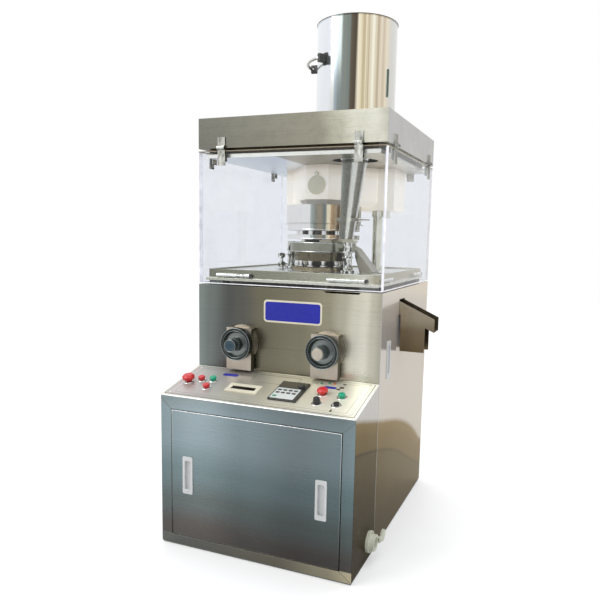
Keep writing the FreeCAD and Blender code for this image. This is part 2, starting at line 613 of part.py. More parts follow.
def turret():
    profile = [("shaft_radius + slip", "hub_low"), ("hub_radius", "hub_low"),
               ("hub_radius", "guide_low"), ("guide_radius", "guide_low"),
               ("guide_radius", "die_table_low"), ("die_table_radius - chamfer", "die_table_low"),
               ("die_table_radius", "die_table_low + chamfer"),
               ("die_table_radius", "die_table_top"), ("neck_radius", "die_table_top"),
               ("neck_radius", "upper_low"), ("upper_radius", "upper_low"),
               ("upper_radius", "slot_low"), ("slot_root", "slot_low"),
               ("slot_root", "slot_high"), ("upper_radius", "slot_high"),
               ("upper_radius", "upper_high"), ("collar_radius", "upper_high"),
               ("collar_radius", "collar_high"), ("shaft_radius + slip", "collar_high")]
    disc = turned(profile, ("0", "turret_y", "0"))
    bores = ring_of([("0", "guide_low - over"), ("punch_radius + slip", "guide_low - over"),
                     ("punch_radius + slip", "die_low"), ("die_radius + slip", "die_low"),
                     ("die_radius + slip", "die_table_top + 2*over"),
                     ("punch_radius + slip", "die_table_top + 2*over"),
                     ("punch_radius + slip", "collar_high + over"), ("0", "collar_high + over")])
    holes = []
    for station in range(DIMENSIONS["stations"]):
        angle = "first_station + %d*360/stations" % station
        hole = rod("z", "screw_hole", ("0", "screw_deep + over"), ("0", "0"))
        turn = math.radians(DIMENSIONS["first_station"] + station * 360 / DIMENSIONS["stations"])
        outward = FreeCAD.Vector(math.cos(turn), math.sin(turn), 0)
        hole.Placement = FreeCAD.Placement(
            FreeCAD.Vector(), FreeCAD.Rotation(FreeCAD.Vector(0, 0, 1), outward))
        reach = "(guide_radius - screw_deep)"
        place(hole, "%s*cos((%s)*1 deg)" % (reach, angle),
              "turret_y + %s*sin((%s)*1 deg)" % (reach, angle), "screw_z")
        holes.append(hole)
    node(cut(disc, bores, *holes), "turret_disc")
    node(ring_of([("tip_radius + slip", "die_low"), ("die_radius", "die_low"),
                  ("die_radius", "die_table_top"), ("tip_radius + slip", "die_table_top")]),
         "dies")
    node(ring_of(punch("upper_tip", "+", "upper_tip_run", "upper_barrel", "head_radius")),
         "upper_punches")
    node(ring_of(punch("lower_tip", "-", "lower_tip_run", "lower_barrel", "lower_head")),
         "lower_punches")
    shaft = turned([("0", "shaft_low"), ("shaft_radius - shoulder", "shaft_low"),
                    ("shaft_radius - shoulder", "shaft_low + shaft_step"),
                    ("shaft_radius", "shaft_low + shaft_step"), ("shaft_radius", "shaft_top"),
                    ("0", "shaft_top")], ("0", "turret_y", "0"))
    node(shaft, "main_shaft")
    worm_wheel()


def worm_wheel():
    low, high = "wheel_z - wheel_half", "wheel_z + wheel_half"
    body = turned([("shaft_radius", low), ("wheel_radius", low), ("wheel_radius", high),
                   ("shaft_radius", high)], ("0", "turret_y", "0"))
    gaps = []
    for tooth in range(DIMENSIONS["wheel_teeth"]):
        gap = box(("0", "2*tooth_deep"), ("0", "tooth_deep"), (low + " - over", high + " + over"))
        turn = 360 * tooth / DIMENSIONS["wheel_teeth"]
        gap.Placement = FreeCAD.Placement(
            FreeCAD.Vector(), FreeCAD.Rotation(FreeCAD.Vector(0, 0, 1), turn))
        reach = "(wheel_radius - tooth_deep)"
        place(gap, "%s*cos(%s deg)" % (reach, turn),
              "turret_y + %s*sin(%s deg)" % (reach, turn), low + " - over")
        gaps.append(gap)
    node(cut(body, *gaps), "worm_wheel")


def feed_post(x, y):
    """A chrome post: wide foot, two beads and a slightly slimmer top."""
    foot = "table_top + foot_high"
    top = "upper_low - post_gap"
    corners = [("0", "table_top"), ("foot_radius", "table_top"), ("foot_radius", foot),
               ("post_radius", foot + " + 2*edge")]
    for bead in ("bead_one", "bead_two"):
        corners += [("post_radius", bead + " - edge"), ("bead_radius", bead),
                    ("bead_radius", bead + " + bead_high"),
                    ("post_radius", bead + " + bead_high + edge")]
    return turned(corners + [("post_radius", top), ("0", top)], (x, y, "0"))


def feed_posts():
    knob = turned([("0", "table_top"), ("stud_radius", "table_top"),
                   ("stud_radius", "nut_low - knob_round"), ("nut_radius", "nut_low"),
                   ("nut_radius", "nut_high"), ("stem_radius", "nut_high + 2*knob_round"),
                   ("stem_radius", "stem_high"),
                   ("ball_radius - knob_round", "stem_high + knob_round"),
                   ("ball_radius", "ball_low"), ("ball_radius", "ball_high"),
                   ("ball_radius - knob_round", "ball_high + knob_round"),
                   ("0", "ball_high + 2*knob_round")], ("knob_x", "knob_y", "0"))
    node(group(feed_post("post_x_right", "post_y_right"),
               feed_post("post_x_left", "post_y_left"), knob), "feed_posts")


def lower_cam_ring():
    ring = turned([("ring_inner", "table_top"), ("ring_outer", "table_top"),
                   ("ring_outer", "ring_high"), ("ring_inner", "ring_high")],
                  ("0", "turret_y", "0"))
    gap = box(around("0", "roller_radius + 2*roller_room"),
              around("roller_y", "roller_half + 4*roller_room"),
              ("table_top - over", "ring_high + over"))
    node(cut(ring, gap), "lower_cam_ring")


def upper_cam_housing():
    shell = turned([("shaft_radius + running", "cam_low + cam_lift"),
                    ("cam_hub_radius", "cam_low + cam_lift"),
                    ("cam_hub_radius", "cam_ceiling"), ("cam_wall_radius", "cam_ceiling"),
                    ("cam_wall_radius", "cam_low"), ("cam_radius", "cam_low"),
                    ("cam_radius", "cam_high"), ("shaft_radius + running", "cam_high")],
                   ("0", "turret_y", "0"))
    slot = box(around("0", "roller_radius + roller_room"),
               around("roller_y", "roller_half + roller_room"),
               ("cam_ceiling - 2*roller_room", "cam_high + over"))
    node(cut(shell, slot), "upper_cam_housing")


def roller(name, height, reach):
    """A pressure roller on its axle, which points to the rear."""
    start = "roller_y - %s" % reach[0]
    wheel_low = "%s - roller_half" % reach[0]
    wheel_high = "%s + roller_half" % reach[0]
    end = "%s + %s" % reach
    node(turned([("0", "0"), ("axle_radius", "0"), ("axle_radius", wheel_low),
                 ("roller_radius", wheel_low), ("roller_radius", wheel_high),
                 ("axle_radius", wheel_high), ("axle_radius", end), ("0", end)],
                ("0", start, height), "y"), name)


# ---------------------------------------------------------------- upper structure
# how far a corner of the shroud's plan moves for one unit of wall: at the narrow front edge
# and at the sharper rear corners
FRONT_SHARE, REAR_SHARE = 0.6, 1.7
NECK_SHARE, NECK_BACK = 0.86, 0.05


def shroud_plan(inset=0.0):
    """Corners of the shroud's plan: narrow front, sides flaring to the rear."""
    front_x = "shroud_half - %s" % (FRONT_SHARE * inset)
    rear_x = "shroud_rear_half - %s" % (REAR_SHARE * inset)
    front_y = "shroud_front + %s" % inset
    return [("-(%s)" % front_x, front_y), (front_x, front_y),
            (rear_x, "shroud_rear - shroud_edge"), (rear_x, "shroud_rear"),
            ("-(%s)" % rear_x, "shroud_rear"), ("-(%s)" % rear_x, "shroud_rear - shroud_edge")]


def neck_solid(inset):
    """The tapered neck between the shroud and the cam housing, as a loft."""
    def ring(plan, z):
        corners = [FreeCAD.Vector(value_of(u), value_of(v), z) for u, v in plan]
        return Part.makePolygon(corners + [corners[0]])

    low, high = DIMENSIONS["cam_high"], DIMENSIONS["shroud_low"]
    plan = shroud_plan(inset)
    narrow = [("(%s)*%s" % (u, NECK_SHARE),
               "(%s) + (shroud_rear - (%s))*%s" % (v, v, NECK_BACK)) for u, v in plan]
    solid = DOC.addObject("Part::Feature", "Neck")
    solid.Shape = Part.makeLoft([ring(narrow, low), ring(plan, high)], True, True)
    return solid


def upper_housing():
    outer = prism("XY", shroud_plan(), ("shroud_low", "ceiling_low"))
    inner = prism("XY", shroud_plan(DIMENSIONS["shroud_wall"]),
                  ("shroud_low - over", "ceiling_low - shroud_wall"))
    window = rod("y", "sight_radius", ("shroud_front - over", "shroud_front + shroud_wall + over"),
                 ("0", "sight_z"))
    walls = cut(outer, inner, window)
    neck = cut(neck_solid(0.0), neck_solid(DIMENSIONS["shroud_wall"]))
    pivot = rod("y", "pin_radius", ("shroud_front - pivot_out", "shroud_front"),
                ("0", "pivot_z"))
    node(fuse(walls, neck, pivot), "upper_housing")


def inspection_cover():
    y = ("shroud_front - cover_out", "shroud_front - play")
    disc = fuse(rod("y", "cover_radius", y, ("0", "sight_z")),
                rod("y", "lug_radius", y, ("0", "pivot_z")),
                box(around("0", "lug_half"), y, ("lug_low", "pivot_z")))
    eye = rod("y", "pin_radius + running", ("shroud_front - pivot_out - over", "shroud_front + over"),
              ("0", "pivot_z"))
    node(cut(disc, eye), "inspection_cover")


def upper_frame():
    x, y = ("frame_left", "frame_right"), ("shroud_rear", "frame_rear")
    outer = box(x, y, ("frame_low", "ceiling_low"))
    inner = box(("frame_left + frame_wall", "frame_right - frame_wall"),
                ("shroud_rear + 2*frame_wall", "frame_rear - frame_wall"),
                ("frame_low + frame_wall", "ceiling_low + over"))
    bore = rod("y", "axle_radius + running",
               ("shroud_rear - over", "shroud_rear + 2*frame_wall + over"),
               ("0", "upper_roller_z"))
    seat = rod("z", "cam_radius + play", ("frame_low - over", "cam_high + play"),
               ("0", "turret_y"))
    node(cut(outer, inner, bore, seat), "upper_frame")


def columns():
    foot = "table_top + foot_high"
    head = "frame_low - column_head"
    pieces = []
    for x, y in (("column_x_right", "column_y_near"), ("column_x_left", "column_y_far"),
                 ("column_x_middle", "column_y_far")):
        pieces.append(turned([("0", "table_top"), ("column_foot", "table_top"),
                              ("column_foot", foot), ("column_radius", foot + " + 2*edge"),
                              ("column_radius", head + " - edge"), ("column_head", head),
                              ("column_head", "frame_low"), ("0", "frame_low")], (x, y, "0")))
    pieces.append(rod("z", "rod_radius", ("rod_low", "frame_low"), ("rod_x", "rod_y")))
    node(group(*pieces), "columns")


def ceiling_tray():
    x, y = around("0", "ceiling_half"), ("ceiling_front", "ceiling_rear")
    pan = box(x, y, ("ceiling_low", "ceiling_low + sheet"))
    lip = ring_frame(x, y, ("ceiling_low", "ceiling_lip"), "sheet")
    neck = ring_frame(around("0", "neck_half"), ("neck_front", "neck_rear"),
                      ("ceiling_low + sheet", "hood_low"), "sheet")
    hole = rod("z", "hole_radius", ("ceiling_low - over", "ceiling_low + sheet + over"),
               ("hole_x", "hole_y"))
    node(cut(fuse(pan, lip, neck), hole), "ceiling_tray")


def hood():
    outer = box(around("0", "half_width"), ("body_front", "body_rear"), ("hood_low", "roof"))
    inner = box(around("0", "half_width - sheet"), ("body_front + sheet", "body_rear - sheet"),
                ("hood_low + sheet", "roof - roof_thick"))
    mouth = box(around("0", "neck_half - sheet"), ("neck_front + sheet", "neck_rear - sheet"),
                ("hood_low - over", "hood_low + 2*sheet"))
    hole = rod("z", "hopper_radius - hopper_shoulder", ("roof - 2*roof_thick", "roof + over"),
               ("hopper_x", "hopper_y"))
    node(cut(outer, inner, mouth, hole), "hood")


def hopper():
    inner = "hopper_radius - hopper_wall"
    rim = "hopper_top - rim_roll"
    neck = "hopper_radius - hopper_shoulder - play"
    throat = "spout_radius - hopper_wall"
    profile = [("hopper_radius", "roof"), ("hopper_radius", rim),
               ("hopper_radius + rim_out", rim), ("hopper_radius + rim_out", "hopper_top"),
               (inner + " - edge", "hopper_top"), (inner, rim + " + edge"),
               (inner, "roof + rim_roll + rim_out"), (neck + " - 2*hopper_wall", "roof"),
               (throat, "spout_low + spout_long + edge"), (throat, "spout_low"),
               ("spout_radius", "spout_low"), ("spout_radius", "spout_low + spout_long"),
               (neck, "roof - roof_thick"), (neck, "roof")]
    node(turned(profile, ("hopper_x", "hopper_y", "0")), "hopper")


def slanted_cone(grow, start=0.0, end=1.0):
    """The feed tube's tapering column; start and end are shares of its length."""
    low = FreeCAD.Vector(value_of("tube_low_x"), value_of("tube_low_y"), value_of("tube_low_z"))
    top = FreeCAD.Vector(value_of("tube_top_x"), value_of("tube_top_y"), value_of("tube_top_z"))
    run = top - low
    radii = [value_of("tube_low_radius") + (value_of("tube_top_radius")
             - value_of("tube_low_radius")) * share + grow for share in (start, end)]
    solid = DOC.addObject("Part::Feature", "Slant")
    solid.Shape = Part.makeCone(radii[0], radii[1], run.Length * (end - start),
                                low + run * start, run)
    return solid


# where the pipe starts and its bore starts and ends, as shares of the column's length
PIPE_START, BORE_START, BORE_END = -0.03, -0.06, 1.05


def feed_tube():
    below = box(around("tube_low_x", "tube_block"), around("tube_low_y", "tube_block"),
                ("tube_low_z - tube_drop", "tube_low_z"))
    pipe = cut(slanted_cone(0.0, PIPE_START), below)
    plates = box(("gate_left - plate_edge", "gate_right - gate_out"),
                 around("gate_y", "gate_half + plate_side"),
                 ("gate_z - plate_over", "gate_z + gate_thick + plate_over"))
    at = ("tube_top_x", "tube_top_y", "0")
    collar_low = "tube_top_z - collar_deep"
    collar_radius = "tube_top_radius + collar_step"
    collar = turned([("0", collar_low), (collar_radius, collar_low),
                     (collar_radius, "tube_top_z"), ("collar_mouth", "collar_top"),
                     ("0", "collar_top")], at)
    inner = "collar_mouth - tube_wall"
    mouth = turned([("0", "tube_top_z"), (collar_radius + " - tube_wall", "tube_top_z"),
                    (inner, "collar_top"), (inner, "collar_top + mouth_over"),
                    ("0", "collar_top + mouth_over")], at)
    bore = slanted_cone(-DIMENSIONS["tube_wall"], BORE_START, BORE_END)
    track = box(("gate_left - track_play", "gate_right"),
                around("gate_y", "gate_half + track_play"),
                ("gate_z - track_play", "gate_z + gate_thick + track_play"))
    node(cut(fuse(pipe, plates, collar), bore, mouth, track), "feed_tube")


def slide_gate():
    node(box(("gate_left", "gate_right"), around("gate_y", "gate_half"),
             ("gate_z", "gate_z + gate_thick")), "slide_gate")


# corners of the feeder's arm seen from above, from the turret's edge round to the outlet side
ARM_PLAN = [("70", "22"), ("128", "-34"), ("164", "-28"), ("162", "22"), ("104", "76")]


def feed_frame():
    low, high = "die_table_top + edge", "die_table_top + edge + frame_plate"
    sector = rod("z", "feed_outer", (low, high), ("0", "turret_y"))
    bind(sector, "Angle", "sector_angle")
    bind(sector, "Placement.Rotation.Angle", "sector_start")
    inner = rod("z", "feed_inner", ("die_table_top", "upper_low"), ("0", "turret_y"))
    arm = prism("XY", ARM_PLAN, (low, high))
    rim = rod("z", "tube_low_radius + port_wall", (high, "tube_low_z"),
              ("tube_low_x", "tube_low_y"))
    bore = rod("z", "tube_low_radius - tube_wall", ("die_table_top", "tube_low_z + over"),
               ("tube_low_x", "tube_low_y"))
    trough = box(around("trough_x", "trough_half"), around("trough_y", "trough_half"),
                 ("die_table_top", high + " + over"))
    node(cut(fuse(sector, arm, rim), inner, bore, trough), "feed_frame")


# ---------------------------------------------------------------- windows and hinges
def hinge_spots():
    """Each window's hinge places: axis of the pin, pin line's other coordinate, places."""
    return {
        "front": ("x", "body_front", "-1", ("-hinge_x", "hinge_x")),
        "rear": ("x", "body_rear", "1", ("-hinge_x", "hinge_x")),
        "left": ("y", "-half_width", "-1", ("hinge_y_front", "hinge_y_rear")),
        "right": ("y", "half_width", "1", ("hinge_y_front", "hinge_y_rear")),
    }


def hinge_box(axis, along, across, z):
    """A box at a hinge: along the pin and across it, whichever way the pin runs."""
    low_high = ("min(%s;%s)" % across, "max(%s;%s)" % across)
    return box(along, low_high, z) if axis == "x" else box(low_high, along, z)


def hinge_rod(axis, radius, along, line):
    return rod(axis, radius, along, (line, "pin_z"))


def upper_leaf(axis, face, out, spot):
    line = "%s + (%s)*pin_out" % (face, out)
    leaf = hinge_box(axis, around(spot, "leaf_wide/2"),
                     (face, "%s + (%s)*leaf_thick" % (face, out)),
                     ("pin_z + leaf_gap", "leaf_high"))
    knuckles = []
    for low, high in (("-leaf_wide/2", "-leaf_wide/6"), ("leaf_wide/6", "leaf_wide/2")):
        span = ("%s + %s" % (spot, low), "%s + %s" % (spot, high))
        knuckles.append(hinge_rod(axis, "knuckle_radius", span, line))
        knuckles.append(hinge_box(axis, span, ("%s + (%s)*play" % (face, out), line),
                                  ("pin_z", "pin_z + web_high")))
    pin = hinge_rod(axis, "pin_radius", around(spot, "leaf_wide/2"), line)
    return fuse(leaf, pin, *knuckles)


def lower_clamp(axis, face, out, spot):
    """The moving leaf: a clip over the acrylic's top edge with the middle knuckle."""
    line = "%s + (%s)*pin_out" % (face, out)
    inward = "%s - (%s)*" % (face, out)
    span = around(spot, "leaf_wide/2")
    front = hinge_box(axis, span, (face, "%s + (%s)*leaf_thick" % (face, out)),
                      ("clamp_low", "pin_z - leaf_gap"))
    bridge = hinge_box(axis, span, ("%s + (%s)*leaf_thick" % (face, out),
                                    inward + "(acrylic + clip_thick)"),
                       ("window_high", "pin_z - leaf_gap"))
    back = hinge_box(axis, span, (inward + "acrylic", inward + "(acrylic + clip_thick)"),
                     ("window_high - clip_deep", "window_high"))
    middle = around(spot, "leaf_wide/6 - track_play")
    web = hinge_box(axis, middle, ("%s + (%s)*edge" % (face, out), line),
                    ("pin_z - web_high", "pin_z"))
    knuckle = hinge_rod(axis, "knuckle_radius", middle, line)
    bore = hinge_rod(axis, "pin_radius + running", around(spot, "leaf_wide/2"), line)
    return cut(fuse(front, bridge, back, web, knuckle), bore)


def windows():
    leaves = []
    z = ("window_low", "window_high")
    front_x = around("0", "half_width - play")
    side_y = ("body_front + acrylic + 2*play", "body_rear - acrylic - 2*play")
    panes = {
        "front": (front_x, ("body_front", "body_front + acrylic")),
        "rear": (front_x, ("body_rear - acrylic", "body_rear")),
        "left": (("-half_width", "-half_width + acrylic"), side_y),
        "right": (("half_width - acrylic", "half_width"), side_y),
    }
    for side, (axis, face, out, spots) in hinge_spots().items():
        node(box(panes[side][0], panes[side][1], z), side + "_window")
        node(group(*[lower_clamp(axis, face, out, spot) for spot in spots]),
             side + "_window_clamps")
        leaves += [upper_leaf(axis, face, out, spot) for spot in spots]
    node(group(*leaves), "hinge_leaves")


# ---------------------------------------------------------------- dials
def dials():
    brackets = []
    for side, name in (("-1", "left_dial"), ("1", "right_dial")):
        x = "%s*dial_x" % side
        block = box(around(x, "block_half"), ("block_front", "body_front - flange_thick"),
                    ("block_low", "block_high"))
        flange = rod("y", "flange_radius", ("body_front - flange_thick", "body_front"),
                     (x, "dial_z"))
        bore = rod("y", "axle_radius + running", ("block_front - over", "body_front + over"),
                   (x, "dial_z"))
        brackets.append(cut(fuse(block, flange), bore))
        knob = turned([("0", "-hub_reach"), ("dial_hub", "-hub_reach"),
                       ("dial_hub", "-hub_root"), ("cup_foot", "-cup_floor"),
                       ("cup_radius", "-cup_floor"), ("rim_inner", "-rim_face"),
                       ("dial_radius - 2*edge", "-rim_face"),
                       ("dial_radius", "-rim_face + 2*edge"), ("dial_radius", "-rim_back"),
                       ("rim_inner + edge", "-rim_back/2"), ("axle_radius", "-rim_back/2"),
                       ("axle_radius", "dial_axle"), ("0", "dial_axle")],
                      (x, "block_front", "dial_z"), "y")
        node(knob, name)
    node(group(*brackets), "dial_brackets")


# ---------------------------------------------------------------- drive
def gearbox_housing():
    x = around("0", "gearbox_half")
    y, z = ("gearbox_front", "gearbox_rear"), ("gearbox_low", "gearbox_high")
    outer = box(x, y, z)
    inner = box(around("0", "gearbox_half - gearbox_wall"),
                ("gearbox_front + gearbox_wall", "gearbox_rear - gearbox_wall"),
                ("gearbox_low + gearbox_wall", "gearbox_high - gearbox_wall"))
    legs = []
    for side in ("-1", "1"):
        for leg_y in ("gearbox_front + leg_half", "gearbox_rear - leg_half"):
            legs.append(box(around("%s*(gearbox_half - leg_half)" % side, "leg_half"),
                            around(leg_y, "leg_half"), ("floor_thick", "gearbox_low")))
    bore = rod("z", "shaft_radius + running",
               ("gearbox_high - 2*gearbox_wall", "gearbox_high + over"), ("0", "turret_y"))
    side_bore = rod("x", "worm_shaft_radius + running", ("-gearbox_half - over", "gearbox_half + over"),
                    ("worm_y", "wheel_z"))
    node(cut(fuse(outer, *legs), inner, bore, side_bore), "gearbox_housing")


def pulley_profile(radius, hub, start, end, edge):
    """A flanged pulley on its shaft: radius under the belt, hub radius, and the shaft's run."""
    half, cheek = "pulley_half", "%s + cheek_high" % radius
    return [("0", start), (hub, start), (hub, "-%s" % half), (cheek, "-%s" % half),
            (cheek, "-%s + cheek_wide" % half), (radius, "-%s + cheek_wide" % half),
            (radius, "%s - cheek_wide" % half), (cheek, "%s - cheek_wide" % half),
            (cheek, half), (edge, half), (edge, end), ("0", end)]


WORM_GROOVES = 5


def worm_drive():
    core = "worm_radius - shoulder"
    shaft = turned([("0", "-worm_left"), ("worm_shaft_radius", "-worm_left"),
                    ("worm_shaft_radius", "-worm_half"), (core, "-worm_half"),
                    ("worm_radius", "-worm_thread"), ("worm_radius", "worm_thread"),
                    (core, "worm_half"), ("worm_shaft_radius", "worm_half"),
                    ("worm_shaft_radius", "worm_right"), ("0", "worm_right")],
                   ("0", "worm_y", "wheel_z"), "x")
    grooves = []
    for turn in range(WORM_GROOVES):
        start = "groove_start + %d*groove_pitch" % turn
        end = start + " + groove_wide"
        ring = rod("x", "worm_radius + over", (start, end), ("worm_y", "wheel_z"))
        root = rod("x", "worm_radius - tooth_deep", (start + " - over", end + " + over"),
                   ("worm_y", "wheel_z"))
        grooves.append(cut(ring, root))
    node(cut(shaft, *grooves), "worm_shaft")
    stub = "-worm_left - pulley_x"
    node(turned(pulley_profile("pulley_radius", "pulley_hub", "-hub_start", stub, "stub_radius"),
                ("pulley_x", "worm_y", "wheel_z"), "x"), "worm_pulley")


def motor_drive():
    at = ("motor_y", "motor_z")
    body = rod("x", "motor_radius", ("motor_left", "motor_right"), at)
    bell = rod("x", "motor_radius - bell_inset", ("motor_right", "motor_right + bell_inset"), at)
    feet = box(("motor_feet_left", "motor_feet_right"), around("motor_y", "feet_half"),
               ("floor_thick", "feet_high"))
    terminal = box(("terminal_left", "terminal_right"), around("motor_y", "terminal_half"),
                   ("motor_z + terminal_low", "motor_z + motor_radius + terminal_high"))
    bore = rod("x", "motor_shaft_radius + running",
               ("motor_left - over", "motor_left + motor_bore"), at)
    node(cut(fuse(body, bell, feet, terminal), bore), "motor")
    stub = "motor_left + rotor_inset - pulley_x"
    node(turned(pulley_profile("motor_pulley_radius", "motor_hub", "-hub_start", stub,
                               "motor_shaft_radius"),
                ("pulley_x", "motor_y", "motor_z"), "x"), "motor_pulley")
    drive_belt()


def belt_face(grow):
    """The area inside a belt loop round both pulleys, in the pulleys' plane."""
    big = FreeCAD.Vector(value_of("pulley_x - pulley_half + belt_edge"), value_of("worm_y"),
                         value_of("wheel_z"))
    small = FreeCAD.Vector(big.x, value_of("motor_y"), value_of("motor_z"))
    radii = (value_of("pulley_radius") + grow, value_of("motor_pulley_radius") + grow)
    run = small - big
    lean = math.asin((radii[0] - radii[1]) / run.Length)
    heading = math.atan2(run.z, run.y)

    def rim(centre, radius, angle):
        return centre + FreeCAD.Vector(0, radius * math.cos(angle), radius * math.sin(angle))

    one, two = heading + math.pi / 2 - lean, heading - math.pi / 2 + lean
    points = [rim(big, radii[0], one), rim(small, radii[1], one), rim(small, radii[1], heading),
              rim(small, radii[1], two), rim(big, radii[0], two),
              rim(big, radii[0], heading + math.pi)]
    edges = [Part.makeLine(points[0], points[1]), Part.Arc(*points[1:4]).toShape(),
             Part.makeLine(points[3], points[4]),
             Part.Arc(points[4], points[5], points[0]).toShape()]
    return Part.Face(Part.Wire(edges))


def drive_belt():
    inner = DIMENSIONS["belt_play"]
    loop = belt_face(inner + DIMENSIONS["belt_thick"]).cut(belt_face(inner))
    belt = DOC.addObject("Part::Feature", "Belt")
    width = 2 * (DIMENSIONS["pulley_half"] - DIMENSIONS["belt_edge"])
    belt.Shape = loop.extrude(FreeCAD.Vector(width, 0, 0))
    belt.Placement = FreeCAD.Placement()
    node(belt, "drive_belt")


# ---------------------------------------------------------------- inlet on the console's side
def inlet():
    face, at = "half_width", ("inlet_y", "inlet_z")
    flange = rod("x", "inlet_flange", (face, face + " + inlet_foot"), at)
    ring = rod("x", "inlet_ring", (face + " + inlet_foot", "inlet_face"), at)
    sleeve = rod("x", "inlet_bore + inlet_sleeve", (face + " - sleeve_deep", face), at)
    bore = rod("x", "inlet_bore", (face + " - inlet_deep", "inlet_face + over"), at)
    hinge = ("cap_x", "inlet_y + cap_arm")
    lugs = []
    for low, high in (("inlet_z - arm_out", "inlet_z - arm_in"),
                      ("inlet_z + arm_in", "inlet_z + arm_out")):
        lugs.append(box((face + " + arm_start", "cap_x + cap_half"),
                        ("inlet_y + inlet_ring - inlet_foot", hinge[1]), (low, high)))
        lugs.append(rod("z", "eye_radius", (low, high), hinge))
    pin = rod("z", "eye_pin", around("inlet_z", "arm_out"), hinge)
    node(fuse(cut(fuse(flange, ring, sleeve, *lugs), bore), pin), "inlet_socket")
    x = around("cap_x", "cap_half")
    disc = rod("x", "cap_radius", x, ("inlet_y + 2*cap_arm", "inlet_z"))
    tongue = box(x, (hinge[1], "inlet_y + 2*cap_arm"), around("inlet_z", "tongue_half"))
    eye = rod("z", "eye_radius", around("inlet_z", "tongue_half"), hinge)
    hole = rod("z", "eye_pin + running", around("inlet_z", "arm_out + over"), hinge)
    node(cut(fuse(disc, tongue, eye), hole), "inlet_cap")


def check_and_export():
    DOC.recompute()
    faults = [o.Label for o in DOC.Objects if "Invalid" in o.State or "Error" in o.State]
    for name, thing in NODES.items():
        shape = thing.Shape
        if shape.isNull() or not shape.isValid() or not shape.Solids:
            faults.append(name)
    if faults:
        raise RuntimeError("faulty objects: %s" % ", ".join(faults))
    os.makedirs("parts", exist_ok=True)
    for name, thing in NODES.items():
        thing.Shape.exportStep(os.path.join("parts", name + ".step"))


def main():
    fill_sheet()
    base_frame()
    side_casing()
    front_panel()
    right_side_panel()
    console_shell()
    service_door()
    console_top()
    controls()
    table_plate()
    window_catches()
    takeoff_ramp()
    discharge_chute()
    turret()
    feed_posts()
    lower_cam_ring()
    upper_cam_housing()
    roller("upper_roller", "upper_roller_z", ("upper_reach_front", "upper_reach_rear"))
    roller("lower_roller", "lower_roller_z", ("lower_reach", "lower_reach"))
    upper_housing()
    inspection_cover()
    upper_frame()
    columns()
    ceiling_tray()
    hood()
    hopper()
    feed_tube()
    slide_gate()
    feed_frame()
    windows()
    dials()
    gearbox_housing()
    worm_drive()
    motor_drive()
    inlet()
    check_and_export()
    print("%d sub-parts" % len(NODES))


main()
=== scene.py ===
"""Looks of the single-sided rotary tablet press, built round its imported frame.

Metres, in the frame's axes: origin on the floor under the cabinet, +Z up, +Y to the rear, +X to
the operator's right.  Order: camera and light, finishes, mesh helpers and the floor, then the
small pieces: console, fronts, windows, dials, hopper, chamber, back and inlet.
"""

import json
import math

import bmesh
import bpy
from mathutils import Matrix, Vector


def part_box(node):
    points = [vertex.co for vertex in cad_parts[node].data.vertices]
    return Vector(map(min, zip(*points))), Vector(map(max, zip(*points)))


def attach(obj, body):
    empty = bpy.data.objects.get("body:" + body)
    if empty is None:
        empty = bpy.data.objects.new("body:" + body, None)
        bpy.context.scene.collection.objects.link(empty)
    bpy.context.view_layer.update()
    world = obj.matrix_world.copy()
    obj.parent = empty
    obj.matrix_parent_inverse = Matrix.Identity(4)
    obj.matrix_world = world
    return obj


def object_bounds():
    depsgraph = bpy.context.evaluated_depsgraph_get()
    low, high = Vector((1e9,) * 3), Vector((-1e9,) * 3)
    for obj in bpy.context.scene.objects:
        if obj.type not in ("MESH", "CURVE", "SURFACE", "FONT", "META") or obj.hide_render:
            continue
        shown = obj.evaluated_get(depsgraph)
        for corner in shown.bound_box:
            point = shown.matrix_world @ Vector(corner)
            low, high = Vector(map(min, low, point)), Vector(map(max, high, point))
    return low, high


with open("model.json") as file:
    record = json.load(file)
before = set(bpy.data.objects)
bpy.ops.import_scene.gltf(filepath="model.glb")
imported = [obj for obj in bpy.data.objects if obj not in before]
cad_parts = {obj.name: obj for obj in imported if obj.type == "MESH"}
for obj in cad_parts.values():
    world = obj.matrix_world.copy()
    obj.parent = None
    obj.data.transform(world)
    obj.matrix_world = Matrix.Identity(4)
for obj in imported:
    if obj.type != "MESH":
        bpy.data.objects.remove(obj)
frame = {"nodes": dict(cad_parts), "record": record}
cad_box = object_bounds()

MM = 0.001
RIGHT, REAR, UP = Vector((1, 0, 0)), Vector((0, 1, 0)), Vector((0, 0, 1))
SUNK = -0.0004  # how far the foot of a piece goes into the face under it
TURRET_Y = 0.113  # the turret's upright axis stands at this y, on x = 0
ROOM = 0.83  # how bright the room is that the metal mirrors
CHAMBER = 0.68  # the same inside the press chamber, seen through the acrylic
PAINTED = 1.25  # the same for paint and plastic, which are lit more strongly

# ---------------------------------------------------------------- camera and light
CAMERA_AT = Vector((0.8361, -2.0562, 0.9922))
AZIMUTH, ELEVATION, ROLL = math.radians(-22.32), math.radians(-7.67), math.radians(1.16)
LENS = 37.48
SHIFT = (-0.0135, 0.0367)


def add_camera():
    ahead = Vector((math.sin(AZIMUTH) * math.cos(ELEVATION),
                    math.cos(AZIMUTH) * math.cos(ELEVATION), math.sin(ELEVATION)))
    right = Vector((math.cos(AZIMUTH), -math.sin(AZIMUTH), 0.0))
    up = right.cross(ahead)
    side = right * math.cos(ROLL) + up * math.sin(ROLL)
    top = up * math.cos(ROLL) - right * math.sin(ROLL)
    data = bpy.data.cameras.new("Camera")
    data.lens = LENS
    data.shift_x, data.shift_y = SHIFT
    camera = bpy.data.objects.new("Camera", data)
    turn = Matrix((side, top, -ahead)).transposed().to_4x4()
    camera.matrix_world = Matrix.Translation(CAMERA_AT) @ turn
    bpy.context.scene.collection.objects.link(camera)
    bpy.context.scene.camera = camera


